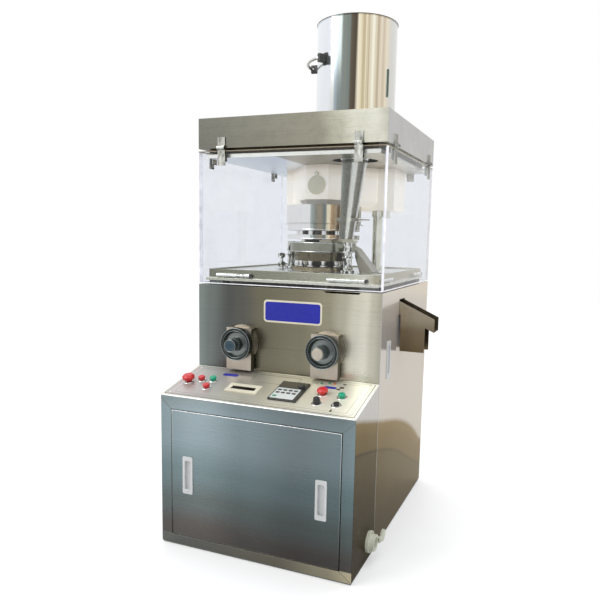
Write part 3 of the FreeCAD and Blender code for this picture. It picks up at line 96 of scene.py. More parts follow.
def add_softbox(name, at, aim, size, power):
    data = bpy.data.lights.new(name, "AREA")
    data.shape = "RECTANGLE"
    data.size, data.size_y = size
    data.energy = power
    lamp = bpy.data.objects.new(name, data)
    lamp.location = at
    lamp.rotation_euler = (Vector(aim) - Vector(at)).to_track_quat("-Z", "Y").to_euler()
    bpy.context.scene.collection.objects.link(lamp)


def add_world():
    """An even pale room, plain white where it is looked at directly."""
    world = bpy.data.worlds.new("Studio")
    bpy.context.scene.world = world
    world.use_nodes = True
    nodes, links = world.node_tree.nodes, world.node_tree.links
    nodes.clear()
    place, split, height, room, backdrop, path, pick, out = (
        nodes.new("ShaderNode" + kind) for kind in (
            "TexCoord", "SeparateXYZ", "ValToRGB", "Background", "Background", "LightPath",
            "MixShader", "OutputWorld"))
    for element, place_up, colour in zip(height.color_ramp.elements, (0.0, 0.7),
                                         ((0.87, 0.85, 0.81, 1), (1.10, 1.12, 1.17, 1))):
        element.position = place_up
        element.color = colour
    backdrop.inputs["Color"].default_value = (1, 1, 1, 1)
    for source, target in ((place.outputs["Generated"], split.inputs[0]),
                           (split.outputs["Z"], height.inputs[0]),
                           (height.outputs[0], room.inputs["Color"]),
                           (path.outputs["Is Camera Ray"], pick.inputs[0]),
                           (room.outputs[0], pick.inputs[1]),
                           (backdrop.outputs[0], pick.inputs[2]),
                           (pick.outputs[0], out.inputs["Surface"])):
        links.new(source, target)


def add_light():
    add_world()
    add_softbox("key", (-2.0, -2.4, 3.4), (0, 0, 0.9), (2.2, 2.2), 54)
    add_softbox("top", (0.3, 0.6, 3.8), (0, 0, 1.0), (2.6, 2.6), 44)


# ---------------------------------------------------------------- finishes
class Finish:
    """One procedural material on the frame's own coordinates; most methods return a socket.

    A finish goes by its own name as a slot, unless another slot is written over it.
    """

    def __init__(self, name, metallic=0.0, roughness=0.5, **settings):
        self.slot = name
        self.material = bpy.data.materials.new(name)
        self.material.use_nodes = True
        self.tree = self.material.node_tree
        self.shader = self.tree.nodes["Principled BSDF"]
        self.shader.inputs["Base Color"].default_value = (0.5, 0.5, 0.5, 1)
        self.shader.inputs["Metallic"].default_value = metallic
        self.shader.inputs["Roughness"].default_value = roughness
        for key, value in settings.items():
            self.shader.inputs[key.replace("_", " ")].default_value = value
        self.object_place = self.add("ShaderNodeTexCoord").outputs["Object"]

    def add(self, kind, given=None, **settings):
        """A new node; given says what its sockets get, by name or by number."""
        made = self.tree.nodes.new(kind)
        for key, value in settings.items():
            setattr(made, key, value)
        for key, value in (given or {}).items():
            self.give(made.inputs[key], value)
        return made

    def give(self, socket, value):
        """A socket gets a number, a vector, a colour or another node's output."""
        if isinstance(value, (int, float)):
            socket.default_value = value
        elif isinstance(value, tuple):
            socket.default_value = (*value, 1) if socket.type == "RGBA" else value
        else:
            self.join(value, socket)

    def join(self, source, target):
        self.tree.links.new(source, target)

    def noise(self, stretch=(1, 1, 1), scale=1.0, detail=3.0, roughness=0.5, distortion=0.0):
        stretched = self.add("ShaderNodeMapping", {"Vector": self.object_place, "Scale": stretch})
        return self.add("ShaderNodeTexNoise", {
            "Vector": stretched.outputs["Vector"], "Scale": scale, "Detail": detail,
            "Roughness": roughness, "Distortion": distortion}).outputs["Fac"]

    def part_of(self, vector, letter):
        return self.add("ShaderNodeSeparateXYZ", {0: vector}).outputs[letter]

    def axis(self, letter):
        return self.part_of(self.object_place, letter)

    def facing(self, letter):
        """How squarely a face looks along an axis, 0 to 1."""
        normal = self.add("ShaderNodeNewGeometry").outputs["Normal"]
        return self.math("ABSOLUTE", self.part_of(normal, letter))

    def math(self, operation, first, second=0.0):
        return self.add("ShaderNodeMath", {0: first, 1: second}, operation=operation).outputs[0]

    def span(self, value, low, high, to_low=0.0, to_high=1.0):
        return self.add("ShaderNodeMapRange", {
            "Value": value, "From Min": low, "From Max": high, "To Min": to_low,
            "To Max": to_high}).outputs["Result"]

    def ramp(self, value, stops, smooth=True):
        """Colours at places along 0 to 1."""
        made = self.add("ShaderNodeValToRGB")
        made.color_ramp.interpolation = "EASE" if smooth else "LINEAR"
        elements = made.color_ramp.elements
        while len(elements) > 1:
            elements.remove(elements[-1])
        for index, (place, colour) in enumerate(stops):
            element = elements[0] if index == 0 else elements.new(place)
            element.position = place
            element.color = (*colour, 1)
        self.join(value, made.inputs["Fac"])
        return made.outputs["Color"]

    def graded(self, value, stops, smooth=True):
        """Colours at real values, from the lowest stop to the highest."""
        low, high = stops[0][0], stops[-1][0]
        scaled = [((place - low) / (high - low), colour) for place, colour in stops]
        return self.ramp(self.span(value, low, high), scaled, smooth)

    def shaken(self, value, noise, reach):
        """A value made uneven by a noise, up to this reach either way."""
        return self.math("ADD", value, self.span(noise, 0, 1, -reach, reach))

    def along(self, letter, stops, wobble=0.0, stretch=(3, 3, 3)):
        """Colours at real places along an axis, their edges made uneven by wobble metres."""
        value = self.axis(letter)
        if wobble:
            value = self.shaken(value, self.noise(stretch), wobble)
        return self.graded(value, stops)

    def mix(self, factor, first, second, blend="MIX"):
        return self.add("ShaderNodeMix", {"Factor": factor, 6: first, 7: second},
                        data_type="RGBA", blend_type=blend).outputs[2]

    def by_facing(self, letter, across, along, low=0.6):
        """One colour on the faces across an axis, another on those that look along it."""
        return self.mix(self.span(self.facing(letter), low, 0.8), across, along)

    def step(self, letter, start, end, first, second):
        """The first colour up to start along an axis, the second from end on."""
        return self.mix(self.span(self.axis(letter), start, end), first, second)

    def colour(self, socket):
        self.join(socket, self.shader.inputs["Base Color"])
        return self

    def rough(self, value, low, high):
        self.join(self.span(value, 0.25, 0.75, low, high), self.shader.inputs["Roughness"])
        return self

    def bump(self, height, distance, strength):
        made = self.add("ShaderNodeBump", {"Strength": strength, "Distance": distance,
                                           "Height": height})
        self.join(made.outputs["Normal"], self.shader.inputs["Normal"])
        return self


def tone(red, green, blue, room=ROOM):
    """The metal colour that looks like this 0 to 255 screen tone in the room's light."""
    return tuple(min(0.97, ((part / 255 + 0.055) / 1.055) ** 2.4 / room)
                 for part in (red, green, blue))


def paint(red, green, blue):
    return tone(red, green, blue, PAINTED)


def tones(*stops, room=ROOM):
    return [(place, tone(*screen, room)) for place, screen in stops]


GRAIN = {"X": (3, 420, 420), "Y": (420, 3, 420), "Z": (420, 420, 3)}
FINE_GRAIN = {"X": (12, 1700, 1700), "Y": (1700, 12, 1700), "Z": (1700, 1700, 12)}


def brushed(finish, base, grain, low, high, contrast=0.07, depth=0.00002):
    """Put brushing along an axis over a base colour: streaks, uneven gloss, shallow scratches."""
    streak = finish.noise(GRAIN[grain], detail=3)
    fine = finish.noise(FINE_GRAIN[grain], detail=2)
    both = finish.math("MULTIPLY", finish.math("ADD", streak, fine), 0.5)
    light = finish.span(both, 0.3, 0.7, 1.0 - contrast, 1.0 + contrast)
    shade = finish.add("ShaderNodeVectorMath", {0: base, "Scale": light}, operation="SCALE")
    cloud = finish.noise(scale=5.0, detail=4, roughness=0.6)
    finish.colour(shade.outputs[0])
    finish.rough(finish.math("MULTIPLY", finish.math("ADD", both, cloud), 0.5), low, high)
    return finish.bump(both, depth, 0.25)


def flat(finish, colour, spread=0.06):
    """A base colour that varies gently in broad clouds."""
    darker = tuple(part * (1.0 - spread) for part in colour)
    lighter = tuple(min(1.0, part * (1.0 + spread)) for part in colour)
    cloud = finish.noise(scale=7.0, detail=5, roughness=0.65)
    return finish.mix(finish.span(cloud, 0.35, 0.65), darker, lighter)


def painted_side_reflection(finish):
    """Painted reflection of a workshop's pale wall and brown floor, as the polished right side
    mirrors them.
    """
    lean = finish.span(finish.axis("Z"), 0.40, 0.20, 0.25, 0.45)
    line = finish.math("ADD", finish.axis("Z"), finish.math("MULTIPLY", finish.axis("Y"), lean))
    line = finish.shaken(line, finish.noise((4, 5, 1.5)), 0.005)
    stops = tones((-0.14, (20, 15, 12)), (-0.05, (34, 28, 24)), (0.05, (52, 47, 32)),
                  (0.17, (68, 60, 40)), (0.258, (76, 68, 44)), (0.267, (42, 36, 24)),
                  (0.276, (98, 84, 52)), (0.33, (108, 92, 58)), (0.368, (126, 108, 72)),
                  (0.385, (205, 204, 205)), (0.62, (211, 211, 213)), (0.90, (214, 214, 216)))
    return finish.graded(line, stops, smooth=False)


def satin_side(finish):
    """The left side's sheet steel, with broad upright bands of painted reflection."""
    return finish.along("Y", tones((-0.45, (120, 124, 124)), (-0.23, (168, 170, 167)),
                                   (-0.05, (182, 183, 179)), (0.12, (150, 151, 147)),
                                   (0.30, (176, 176, 170)), (0.45, (138, 138, 132))),
                        wobble=0.02, stretch=(2, 2, 0.6))


def brushed_panel():
    finish = Finish("brushed_panel", metallic=1.0, roughness=0.3, Anisotropic=0.6)
    # Painted reflection across the front: darker towards the left, with a painted highlight band
    # round x 0.24 to 0.27.
    front = finish.along("X", tones(
        (-0.325, (130, 138, 135)), (-0.285, (114, 121, 118)), (-0.21, (88, 90, 88)),
        (-0.16, (95, 95, 90)), (-0.09, (114, 110, 94)), (0.05, (125, 121, 103)),
        (0.15, (150, 146, 126)), (0.20, (176, 172, 155)), (0.24, (206, 204, 188)),
        (0.27, (216, 213, 198)), (0.295, (192, 189, 173)), (0.325, (172, 169, 155))),
        wobble=0.03, stretch=(4, 4, 1.5))
    return brushed(finish, finish.by_facing("X", front, satin_side(finish)), "X", 0.22, 0.36)


def console_steel():
    finish = Finish("console_steel", metallic=1.0, roughness=0.3, Anisotropic=0.5,
                    Specular_Tint=(0.90, 0.84, 0.74, 1.0))
    # Painted reflection on the front: darker and browner near the floor, bluish higher up.
    front = finish.along("Z", tones(
        (0.0, (102, 97, 92)), (0.06, (102, 97, 94)), (0.15, (108, 115, 114)),
        (0.25, (122, 138, 141)), (0.36, (148, 163, 168)), (0.447, (152, 167, 171)),
        (0.49, (146, 158, 160))), wobble=0.05, stretch=(2, 2, 3))
    # Painted shade across the front: brightest near x -0.19, dimmed to about half round x 0.16.
    across = finish.along("X", [(-0.325, (0.80, 0.82, 0.82)), (-0.19, (1.0, 1.0, 1.0)),
                                (-0.03, (0.66, 0.68, 0.68)), (0.16, (0.50, 0.50, 0.50)),
                                (0.28, (0.54, 0.56, 0.56)), (0.325, (0.62, 0.66, 0.66))],
                          wobble=0.04)
    front = finish.mix(1.0, front, across, "MULTIPLY")
    # The sill's painted reflection: brown, lighter towards the right.
    sill = finish.along("X", tones((-0.325, (104, 106, 103)), (0.08, (112, 108, 98)),
                                   (0.24, (150, 144, 124)), (0.325, (186, 177, 150))))
    front = finish.step("Z", 0.0385, 0.0355, front, sill)
    # Sides: the painted room reflection on the right, the satin side's painted reflection bands
    # on the left.
    side = finish.step("X", -0.30, -0.31, painted_side_reflection(finish), satin_side(finish))
    return brushed(finish, finish.by_facing("X", front, side), "X", 0.22, 0.34)


def polished_panel():
    finish = Finish("polished_panel", metallic=0.7, roughness=0.2,
                    Specular_Tint=(0.86, 0.74, 0.56, 1.0))
    # The painted room reflection, with faint brushing over it.
    return brushed(finish, painted_side_reflection(finish), "Z", 0.13, 0.26, contrast=0.03, depth=0.00001)


def metal(name, colour, grain, low, high, spread=0.08):
    finish = Finish(name, metallic=1.0, roughness=0.3)
    return brushed(finish, flat(finish, colour, spread), grain, low, high)


def hood_steel():
    finish = Finish("hood_steel", metallic=1.0, roughness=0.3, Anisotropic=0.4)
    # Painted reflection across the front, lighter towards the right.
    front = finish.along("X", tones(
        (-0.325, (115, 115, 108)), (-0.15, (124, 123, 113)), (0.10, (139, 137, 124)),
        (0.17, (172, 171, 156)), (0.22, (200, 200, 187)), (0.28, (206, 206, 194)),
        (0.325, (182, 182, 170))), wobble=0.06, stretch=(5, 5, 12))
    side = flat(finish, tone(172, 172, 172), 0.05)
    base = finish.by_facing("X", front, side)
    swirl = finish.noise(scale=14.0, detail=6, roughness=0.7, distortion=1.2)
    base = finish.mix(finish.span(swirl, 0.45, 0.75, 0.0, 0.22), base, tone(92, 92, 84))
    return brushed(finish, base, "X", 0.20, 0.36, contrast=0.05)


def streaks(finish, centre, stops, wobble=2.0, room=ROOM, lean=(0.0, 0.0)):
    """Upright streaks of painted reflection on a curved polished wall: screen tones at azimuths
    round its axis.

    The axis stands at centre, or leans by so much per metre up from the floor.
    """
    shift_x = finish.math("MULTIPLY", finish.axis("Z"), lean[0])
    shift_y = finish.math("MULTIPLY", finish.axis("Z"), lean[1])
    away_x = finish.math("SUBTRACT", finish.axis("X"), finish.math("ADD", shift_x, centre[0]))
    away_y = finish.math("SUBTRACT", finish.math("ADD", shift_y, centre[1]), finish.axis("Y"))
    turn = finish.math("MULTIPLY", finish.math("ARCTAN2", away_x, away_y), 180 / math.pi)
    turn = finish.shaken(turn, finish.noise((14, 14, 2)), wobble)
    shiver = finish.span(finish.noise((170, 170, 0.8), detail=4), 0.3, 0.7, -1.6, 1.6)
    turn = finish.math("ADD", turn, shiver)
    stops = [(-180, (170, 168, 158)), (-150, (120, 122, 118)), (-122, (205, 205, 200)),
             *stops, (118, (206, 206, 202)), (136, (128, 124, 112)), (160, (196, 194, 186)),
             (180, (170, 168, 158))]
    return finish.graded(turn, tones(*stops, room=room), smooth=False)


def middle_of(node):
    low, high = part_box(node)
    return ((low + high) / 2)[:2]


def hopper_steel():
    finish = Finish("hopper_steel", metallic=1.0, roughness=0.12)
    # Painted reflections of the room, as upright bands round the hopper.
    base = streaks(finish, middle_of("hopper"), (
        (-62, (222, 228, 240)), (-24, (216, 220, 226)), (-17, (200, 204, 202)),
        (-13, (150, 160, 168)), (-7, (118, 126, 126)), (3, (124, 130, 124)),
        (8, (112, 120, 118)), (11, (96, 88, 76)), (15, (78, 72, 62)), (19, (92, 80, 68)),
        (21, (232, 224, 204)), (24, (206, 196, 166)), (28, (176, 164, 134)),
        (31, (226, 216, 190)), (35, (168, 156, 132)), (38, (214, 206, 184)),
        (42, (240, 232, 216)), (46, (204, 194, 172)), (50, (172, 158, 136)),
        (54, (222, 212, 194)), (58, (188, 176, 156)), (64, (216, 206, 186)),
        (70, (206, 200, 188)), (76, (198, 198, 196))), wobble=1.2)
    return brushed(finish, base, "Z", 0.10, 0.20, contrast=0.03, depth=0.00001)


# Painted reflections round the drum: screen tones at azimuths.
DRUM_STREAKS = (
    (-60, (238, 238, 236)), (0, (246, 246, 243)), (3, (150, 158, 154)), (8, (118, 122, 116)),
    (12, (132, 126, 110)), (18, (136, 128, 110)), (21, (96, 106, 102)), (25, (112, 120, 114)),
    (27, (216, 204, 178)), (30, (210, 196, 168)), (33, (152, 126, 92)), (38, (146, 130, 106)),
    (43, (150, 140, 130)), (52, (158, 148, 138)), (57, (150, 146, 100)), (66, (158, 152, 108)),
    (71, (204, 198, 180)), (76, (176, 170, 154)), (84, (60, 58, 52)), (90, (190, 188, 180)),
    (100, (96, 92, 82)))


def drum_wall(finish):
    # The drum's painted reflections, upright bands round the turret's axis.
    return streaks(finish, (0.0, TURRET_Y), DRUM_STREAKS, room=CHAMBER)


def drum_steel():
    finish = Finish("drum_steel", metallic=1.0, roughness=0.12)
    return brushed(finish, drum_wall(finish), "Z", 0.12, 0.22, contrast=0.04, depth=0.00001)


def turret_steel():
    """Polished above with painted reflection bands, satin die table, brown-grey guide ring, and
    painted shade on the hub and in the recessed slots.
    """
    finish = Finish("turret_steel", metallic=1.0, roughness=0.15)
    wall = drum_wall(finish)
    table = flat(finish, tone(128, 130, 117, CHAMBER), 0.14)
    ring = flat(finish, tone(92, 86, 68, CHAMBER), 0.12)
    base = finish.step("Z", 0.9782, 0.9786, finish.step("Z", 0.9418, 0.9422, ring, table), wall)
    # Painted shade in the recessed slot band, and on the hub nearer the axis than 0.1 m.
    slot = finish.math("MULTIPLY", finish.span(finish.axis("Z"), 1.0037, 1.0043),
                       finish.span(finish.axis("Z"), 1.0185, 1.0175))
    level = finish.add("ShaderNodeVectorMath", {0: finish.object_place, 1: (1, 1, 0)},
                       operation="MULTIPLY")
    reach = finish.add("ShaderNodeVectorMath", {0: level.outputs[0], 1: (0, TURRET_Y, 0)},
                       operation="DISTANCE")
    hub_shade = finish.span(reach.outputs["Value"], 0.100, 0.072)
    base = finish.mix(finish.math("MAXIMUM", finish.math("MULTIPLY", slot, 0.9), hub_shade), base,
                      tone(38, 37, 34))
    return brushed(finish, base, "X", 0.12, 0.24, contrast=0.05, depth=0.00001)


def feed_pipe_steel():
    finish = Finish("feed_pipe_steel", metallic=1.0, roughness=0.25)
    foot_x, foot_y, foot_z, tall = 0.126, 0.002, 0.990, 0.260
    lean_x, lean_y = 0.032 / tall, -0.027 / tall
    centre = (foot_x - lean_x * foot_z, foot_y - lean_y * foot_z)
    # Painted reflections of the chamber, as upright bands round the leaning pipe.
    base = streaks(finish, centre, (
        (-72, (236, 240, 244)), (-54, (228, 232, 236)), (-45, (130, 132, 126)),
        (-20, (108, 110, 101)), (4, (102, 100, 90)), (14, (196, 196, 186)),
        (30, (208, 206, 194)), (38, (126, 124, 113)), (66, (104, 102, 92)),
        (78, (190, 190, 182)), (92, (224, 224, 220))),
        wobble=2.5, room=CHAMBER * 0.95, lean=(lean_x, lean_y))
    return brushed(finish, base, "Z", 0.2, 0.34)


def table_steel():
    finish = Finish("table_steel", metallic=1.0, roughness=0.3)
    # Painted reflection along the rim, lighter towards the right; the upward faces are painted
    # lighter, as lit from above.
    rim = finish.along("X", tones((-0.31, (128, 128, 112)), (-0.1, (140, 140, 122)),
                                  (0.15, (170, 170, 150)), (0.26, (216, 214, 198)),
                                  (0.31, (170, 160, 132))))
    top = flat(finish, tone(214, 216, 212), 0.08)
    base = finish.by_facing("Z", rim, top)
    # A painted highlight along the flange below the rim.
    flange = finish.along("X", tones((-0.31, (196, 196, 180)), (0.31, (222, 219, 208))))
    return brushed(finish, finish.step("Z", 0.8535, 0.8525, base, flange), "X", 0.2, 0.34)


def tray_steel():
    """The pressed ceiling: bright lip with painted shade in the gap above it, and a bluish
    painted reflection on the underside, which painted shade darkens towards the drum.
    """
    finish = Finish("tray_steel", metallic=1.0, roughness=0.3)
    # Painted shade above z 1.2612, in the gap under the hood.
    lip = finish.step("Z", 1.2612, 1.2606, tone(60, 54, 42),
                      flat(finish, tone(238, 234, 222), 0.05))
    under = finish.along("X", tones((-0.3, (222, 228, 238)), (-0.06, (204, 210, 220)),
                                    (-0.04, (124, 121, 110)), (0.10, (122, 118, 106)),
                                    (0.16, (134, 130, 114)), (0.3, (196, 194, 182))),
                         wobble=0.006)
    return brushed(finish, finish.by_facing("Z", lip, under), "X", 0.22, 0.36)


def console_plate():
    finish = Finish("console_plate", metallic=0.8, roughness=0.35)
    # Painted reflection: lighter towards the right.
    base = finish.along("X", tones((-0.325, (216, 214, 204)), (0.325, (242, 240, 226))))
    return brushed(finish, base, "X", 0.26, 0.38)


def overlay_film():
    finish = Finish("overlay_film", metallic=0.55, roughness=0.4, Coat_Weight=0.1)
    finish.slot = "console_plate"
    # Painted reflection: the film lighter towards the right.
    base = finish.along("X", tones((-0.32, (168, 156, 150)), (-0.20, (150, 142, 136)),
                                   (-0.05, (178, 175, 160)), (0.10, (196, 193, 176)),
                                   (0.22, (222, 219, 202)), (0.32, (232, 230, 216))),
                        wobble=0.03)
    # A painted iridescent sheen over the left part of the film.
    rainbow = finish.noise((30, 30, 30), detail=2)
    hue = finish.ramp(rainbow, [(0.3, (0.70, 0.60, 0.62)), (0.5, (0.62, 0.64, 0.62)),
                                (0.7, (0.56, 0.68, 0.62))])
    left = finish.span(finish.axis("X"), -0.10, -0.24, 0.0, 0.35)
    return brushed(finish, finish.mix(left, base, hue), "X", 0.32, 0.46, contrast=0.04)


def acrylic():
    """Clear sheet: it passes light nearly straight and mirrors a little of the room."""
    finish = Finish("acrylic")
    haze = finish.noise(scale=26.0, detail=6, roughness=0.7)
    tint = finish.mix(finish.span(haze, 0.3, 0.7), (0.936, 0.946, 0.962), (0.954, 0.962, 0.976))
    clear = finish.add("ShaderNodeBsdfTransparent", {"Color": tint})
    gloss = finish.add("ShaderNodeBsdfGlossy", {
        "Color": (0.9, 0.92, 0.96), "Roughness": finish.span(haze, 0.4, 0.9, 0.01, 0.08)})
    fresnel = finish.add("ShaderNodeFresnel", {"IOR": 1.49})
    inner = finish.add("ShaderNodeNewGeometry").outputs["Backfacing"]
    outside = finish.math("SUBTRACT", 1.0, inner)
    share = finish.math("MULTIPLY", fresnel.outputs[0], outside)
    mixed = finish.add("ShaderNodeMixShader", {0: share, 1: clear.outputs[0],
                                               2: gloss.outputs[0]})
    output = finish.tree.nodes["Material Output"]
    finish.join(mixed.outputs[0], output.inputs["Surface"])
    finish.tree.nodes.remove(finish.shader)
    return finish


def plastic(name, screen, roughness=0.35):
    finish = Finish(name, roughness=roughness, Coat_Weight=0.15)
    pebble = finish.noise(scale=900.0, detail=3)
    finish.colour(flat(finish, paint(*screen), 0.10))
    finish.rough(finish.noise(scale=60.0, detail=4), roughness - 0.06,
                 roughness + 0.08)
    return finish.bump(pebble, 0.00003, 0.3)


def cast(name, screen, roughness=0.55):
    finish = Finish(name, metallic=0.3, roughness=roughness)
    lumps = finish.noise(scale=260.0, detail=5, roughness=0.7)
    finish.colour(flat(finish, paint(*screen), 0.14))
    finish.rough(lumps, roughness - 0.1, roughness + 0.1)
    return finish.bump(lumps, 0.0002, 0.35)


def shroud_steel():
    """Satin housings under the hood: cream, with painted shade under the ceiling and on the front
    of the lower neck, and a faint painted glow.
    """
    finish = Finish("shroud_steel", metallic=0.25, roughness=0.45, Emission_Strength=0.32)
    base = finish.along("Z", [(1.05, (0.94, 0.88, 0.77)), (1.20, (0.96, 0.91, 0.82)),
                              (1.225, (0.88, 0.81, 0.70)), (1.249, (0.62, 0.55, 0.45))])
    # Painted shade on the front of the lower neck.
    neck = finish.math("MULTIPLY", finish.span(finish.axis("Z"), 1.1295, 1.1275),
                       finish.span(finish.axis("Y"), 0.13, 0.10))
    base = finish.mix(neck, base, (0.40, 0.38, 0.34))
    # The base colour also glows by emission: painted light, as the housings are no lamp.
    finish.join(base, finish.shader.inputs["Emission Color"])
    return brushed(finish, base, "Z", 0.38, 0.5, contrast=0.02)


def post_chrome():
    """Chromed posts among the tools, with the tools' reflections painted on them as black and
    white flecks.
    """
    finish = Finish("post_chrome", metallic=1.0, roughness=0.1)
    base = finish.ramp(finish.noise((75, 75, 34), detail=1), tones(
        (0.36, (46, 48, 48)), (0.46, (150, 152, 146)), (0.54, (236, 238, 236)),
        (0.62, (178, 178, 170)), (0.70, (70, 70, 66)), room=CHAMBER))
    return brushed(finish, base, "Z", 0.06, 0.16, contrast=0.03)


def hinge_steel():
    """Bright plated fronts with grey clouds; painted shade darkens the faces that look along X,
    so the leaves on the right side read dark.
    """
    finish = Finish("hinge_steel", metallic=1.0, roughness=0.25)
    cloud = finish.noise((60, 60, 30), detail=4)
    front = finish.ramp(cloud, tones((0.3, (92, 92, 84)), (0.5, (176, 178, 172)),
                                     (0.7, (214, 216, 212))))
    side = finish.ramp(cloud, tones((0.35, (58, 56, 50)), (0.65, (118, 114, 100))))
    return brushed(finish, finish.by_facing("X", front, side), "Z", 0.16, 0.3)


def dial_metal():
    """Anodised dials: dark grey rim, paler inside the cup, with turning marks."""
    finish = Finish("dial_metal", metallic=1.0, roughness=0.3)
    axis_x, axis_z, radius = 0.152, 0.641, 0.06
    across = finish.math("SUBTRACT", finish.math("ABSOLUTE", finish.axis("X")), axis_x)
    away_z = finish.math("SUBTRACT", finish.axis("Z"), axis_z)
    reach = finish.math("SQRT", finish.math("ADD", finish.math("MULTIPLY", across, across),
                                            finish.math("MULTIPLY", away_z, away_z)))
    base = finish.ramp(finish.span(reach, 0.0, radius), tones(
        (0.0, (62, 78, 88)), (0.28, (70, 86, 96)), (0.36, (128, 134, 132)),
        (0.70, (108, 116, 114)), (0.76, (50, 57, 60)), (1.0, (40, 46, 50))))
    return brushed(finish, base, "X", 0.2, 0.34)


def bracket_steel():
    finish = Finish("bracket_steel", metallic=1.0, roughness=0.35)
    front = flat(finish, tone(182, 174, 161), 0.06)
    # Painted shade: the faces that look along X are the same steel, darker.
    side = flat(finish, tone(98, 95, 80), 0.12)
    return brushed(finish, finish.by_facing("X", front, side), "Z", 0.30, 0.42)


def chute_steel():
    """Painted reflections of a brown room on the apron, a lighter channel and a dark top edge."""
    finish = Finish("chute_steel", metallic=1.0, roughness=0.25)
    apron = finish.along("Z", tones((0.60, (96, 84, 62)), (0.68, (112, 100, 80)),
                                    (0.74, (146, 137, 120)), (0.80, (162, 155, 140))),
                         wobble=0.012)
    top = flat(finish, tone(92, 82, 66), 0.15)
    return brushed(finish, finish.by_facing("Z", apron, top, 0.5), "Y", 0.2, 0.34)


def plain_print(name, slot, screen, roughness=0.4):
    finish = Finish(name, roughness=roughness, Coat_Weight=0.2)
    finish.slot = slot
    finish.colour(flat(finish, paint(*screen), 0.08))
    return finish.rough(finish.noise(scale=80.0), roughness - 0.05, roughness + 0.1)


def edge_glow():
    """Cut acrylic edge: pale and faintly violet with a faint painted glow by emission, and brown
    painted shade along the top, under the hood.
    """
    finish = Finish("acrylic_edge", roughness=0.25, Emission_Strength=0.20)
    finish.slot = "acrylic"
    cloud = finish.noise(scale=30.0)
    tint = finish.mix(finish.span(cloud, 0.3, 0.7), (0.72, 0.71, 0.76), (0.93, 0.93, 0.95))
    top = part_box("front_window")[1].z
    # Painted shade along the top edge, under the hood.
    tint = finish.step("Z", top - 0.0035, top - 0.0025, tint, tone(122, 113, 96))
    finish.colour(tint)
    finish.join(tint, finish.shader.inputs["Emission Color"])
    return finish


def ring_steel():
    finish = metal("dial_ring_steel", tone(138, 142, 138), "X", 0.2, 0.32)
    finish.slot = "chrome_fittings"
    return finish


def painted_door_highlight():
    """A painted highlight on the door's folded edge: bright at the top, dull towards the floor.
    """
    finish = Finish("painted_door_highlight", metallic=1.0, roughness=0.2)
    finish.slot = "chrome_fittings"
    base = finish.along("Z", tones((0.05, (84, 82, 76)), (0.2, (128, 134, 134)),
                                   (0.43, (186, 194, 194)), (0.445, (236, 238, 236))))
    return brushed(finish, base, "X", 0.14, 0.26)


FINISHES = {finish.slot: finish for finish in (
    brushed_panel(),
    console_steel(),
    polished_panel(),
    hood_steel(),
    hopper_steel(),
    metal("tube_steel", tone(150, 146, 132), "Z", 0.2, 0.34),
    shroud_steel(),
    turret_steel(),
    metal("tool_steel", tone(224, 222, 216, CHAMBER), "Z", 0.14, 0.24),
    metal("chrome_fittings", tone(208, 209, 206), "Z", 0.06, 0.16),
    metal("feeder_bronze", tone(150, 140, 112), "X", 0.22, 0.36),
    table_steel(),
    console_plate(),
    acrylic(),
    hinge_steel(),
    dial_metal(),
    bracket_steel(),
    plastic("red_plastic", (216, 44, 48)),
    plastic("green_plastic", (22, 168, 128)),
    plastic("black_plastic", (40, 42, 42)),
    cast("cast_frame", (128, 134, 130)),
    metal("shaft_steel", tone(170, 168, 160), "Z", 0.16, 0.3),
    metal("worm_bronze", tone(176, 140, 90), "Z", 0.2, 0.34),
    cast("pulley_iron", (92, 92, 94)),
    plastic("belt_rubber", (34, 34, 34), 0.6),
    cast("motor_paint", (72, 104, 124), 0.42),
    plastic("inlet_plastic", (224, 226, 206), 0.4))}
NODE_FINISHES = {
    "upper_cam_housing": drum_steel(),
    "feed_tube": feed_pipe_steel(),
    "ceiling_tray": tray_steel(),
    "inspection_cover": metal("cover_steel", tone(182, 180, 162, CHAMBER), "Z", 0.3, 0.42,
                              spread=0.04),
    "discharge_chute": chute_steel(),
    "lower_cam_ring": metal("cam_ring_steel", tone(132, 122, 98, CHAMBER), "X", 0.2, 0.34,
                            spread=0.2),
    "feed_frame": metal("feed_frame_steel", tone(160, 156, 140, CHAMBER), "X", 0.22, 0.36),
    "columns": metal("column_steel", tone(190, 190, 180, CHAMBER), "Z", 0.14, 0.26,
                     spread=0.2),
    "feed_posts": post_chrome(),
    "window_catches": metal("catch_steel", tone(226, 226, 220), "X", 0.12, 0.24),
}
CREAM = plain_print("cream_frame", "console_plate", (236, 230, 206))
GLASS_DARK = plain_print("dark_glass", "black_plastic", (30, 24, 20), 0.12)
KEY_WHITE = plain_print("key_white", "inlet_plastic", (222, 228, 224))
KEY_DARK = plain_print("key_dark", "black_plastic", (58, 58, 56))
BLUE = plain_print("blue_print", "console_plate", (4, 22, 168), 0.6)
ORANGE = plain_print("orange_lens", "green_plastic", (226, 120, 72), 0.2)
GREEN = plain_print("green_lens", "green_plastic", (70, 150, 110), 0.2)
LINE = plain_print("panel_line", "console_plate", (112, 106, 92))
# Dark print for labels, and painted shade round the film's edge and along the hopper's rim.
DARK_PRINT_AND_SHADE = plain_print("dark_print_and_painted_shade", "console_plate", (70, 62, 50))
WHITE = plain_print("pull_white", "chrome_fittings", (222, 224, 224))
EDGE = edge_glow()
RING = ring_steel()
GLAZED = plain_print("green_glazing", "acrylic", (70, 92, 72), 0.1)
GASKET = plain_print("inlet_gasket", "inlet_plastic", (176, 168, 112))
OVERLAY = overlay_film()
DOOR_HIGHLIGHT = painted_door_highlight()


def dress_nodes():
    """Every frame node takes its slot's finish."""
    for part in frame["record"]["subparts"]:
        node = frame["nodes"][part["node"]]
        node.data.materials.clear()
        finish = NODE_FINISHES.get(part["node"], FINISHES[part["material_slot"]])
        node.data.materials.append(finish.material)


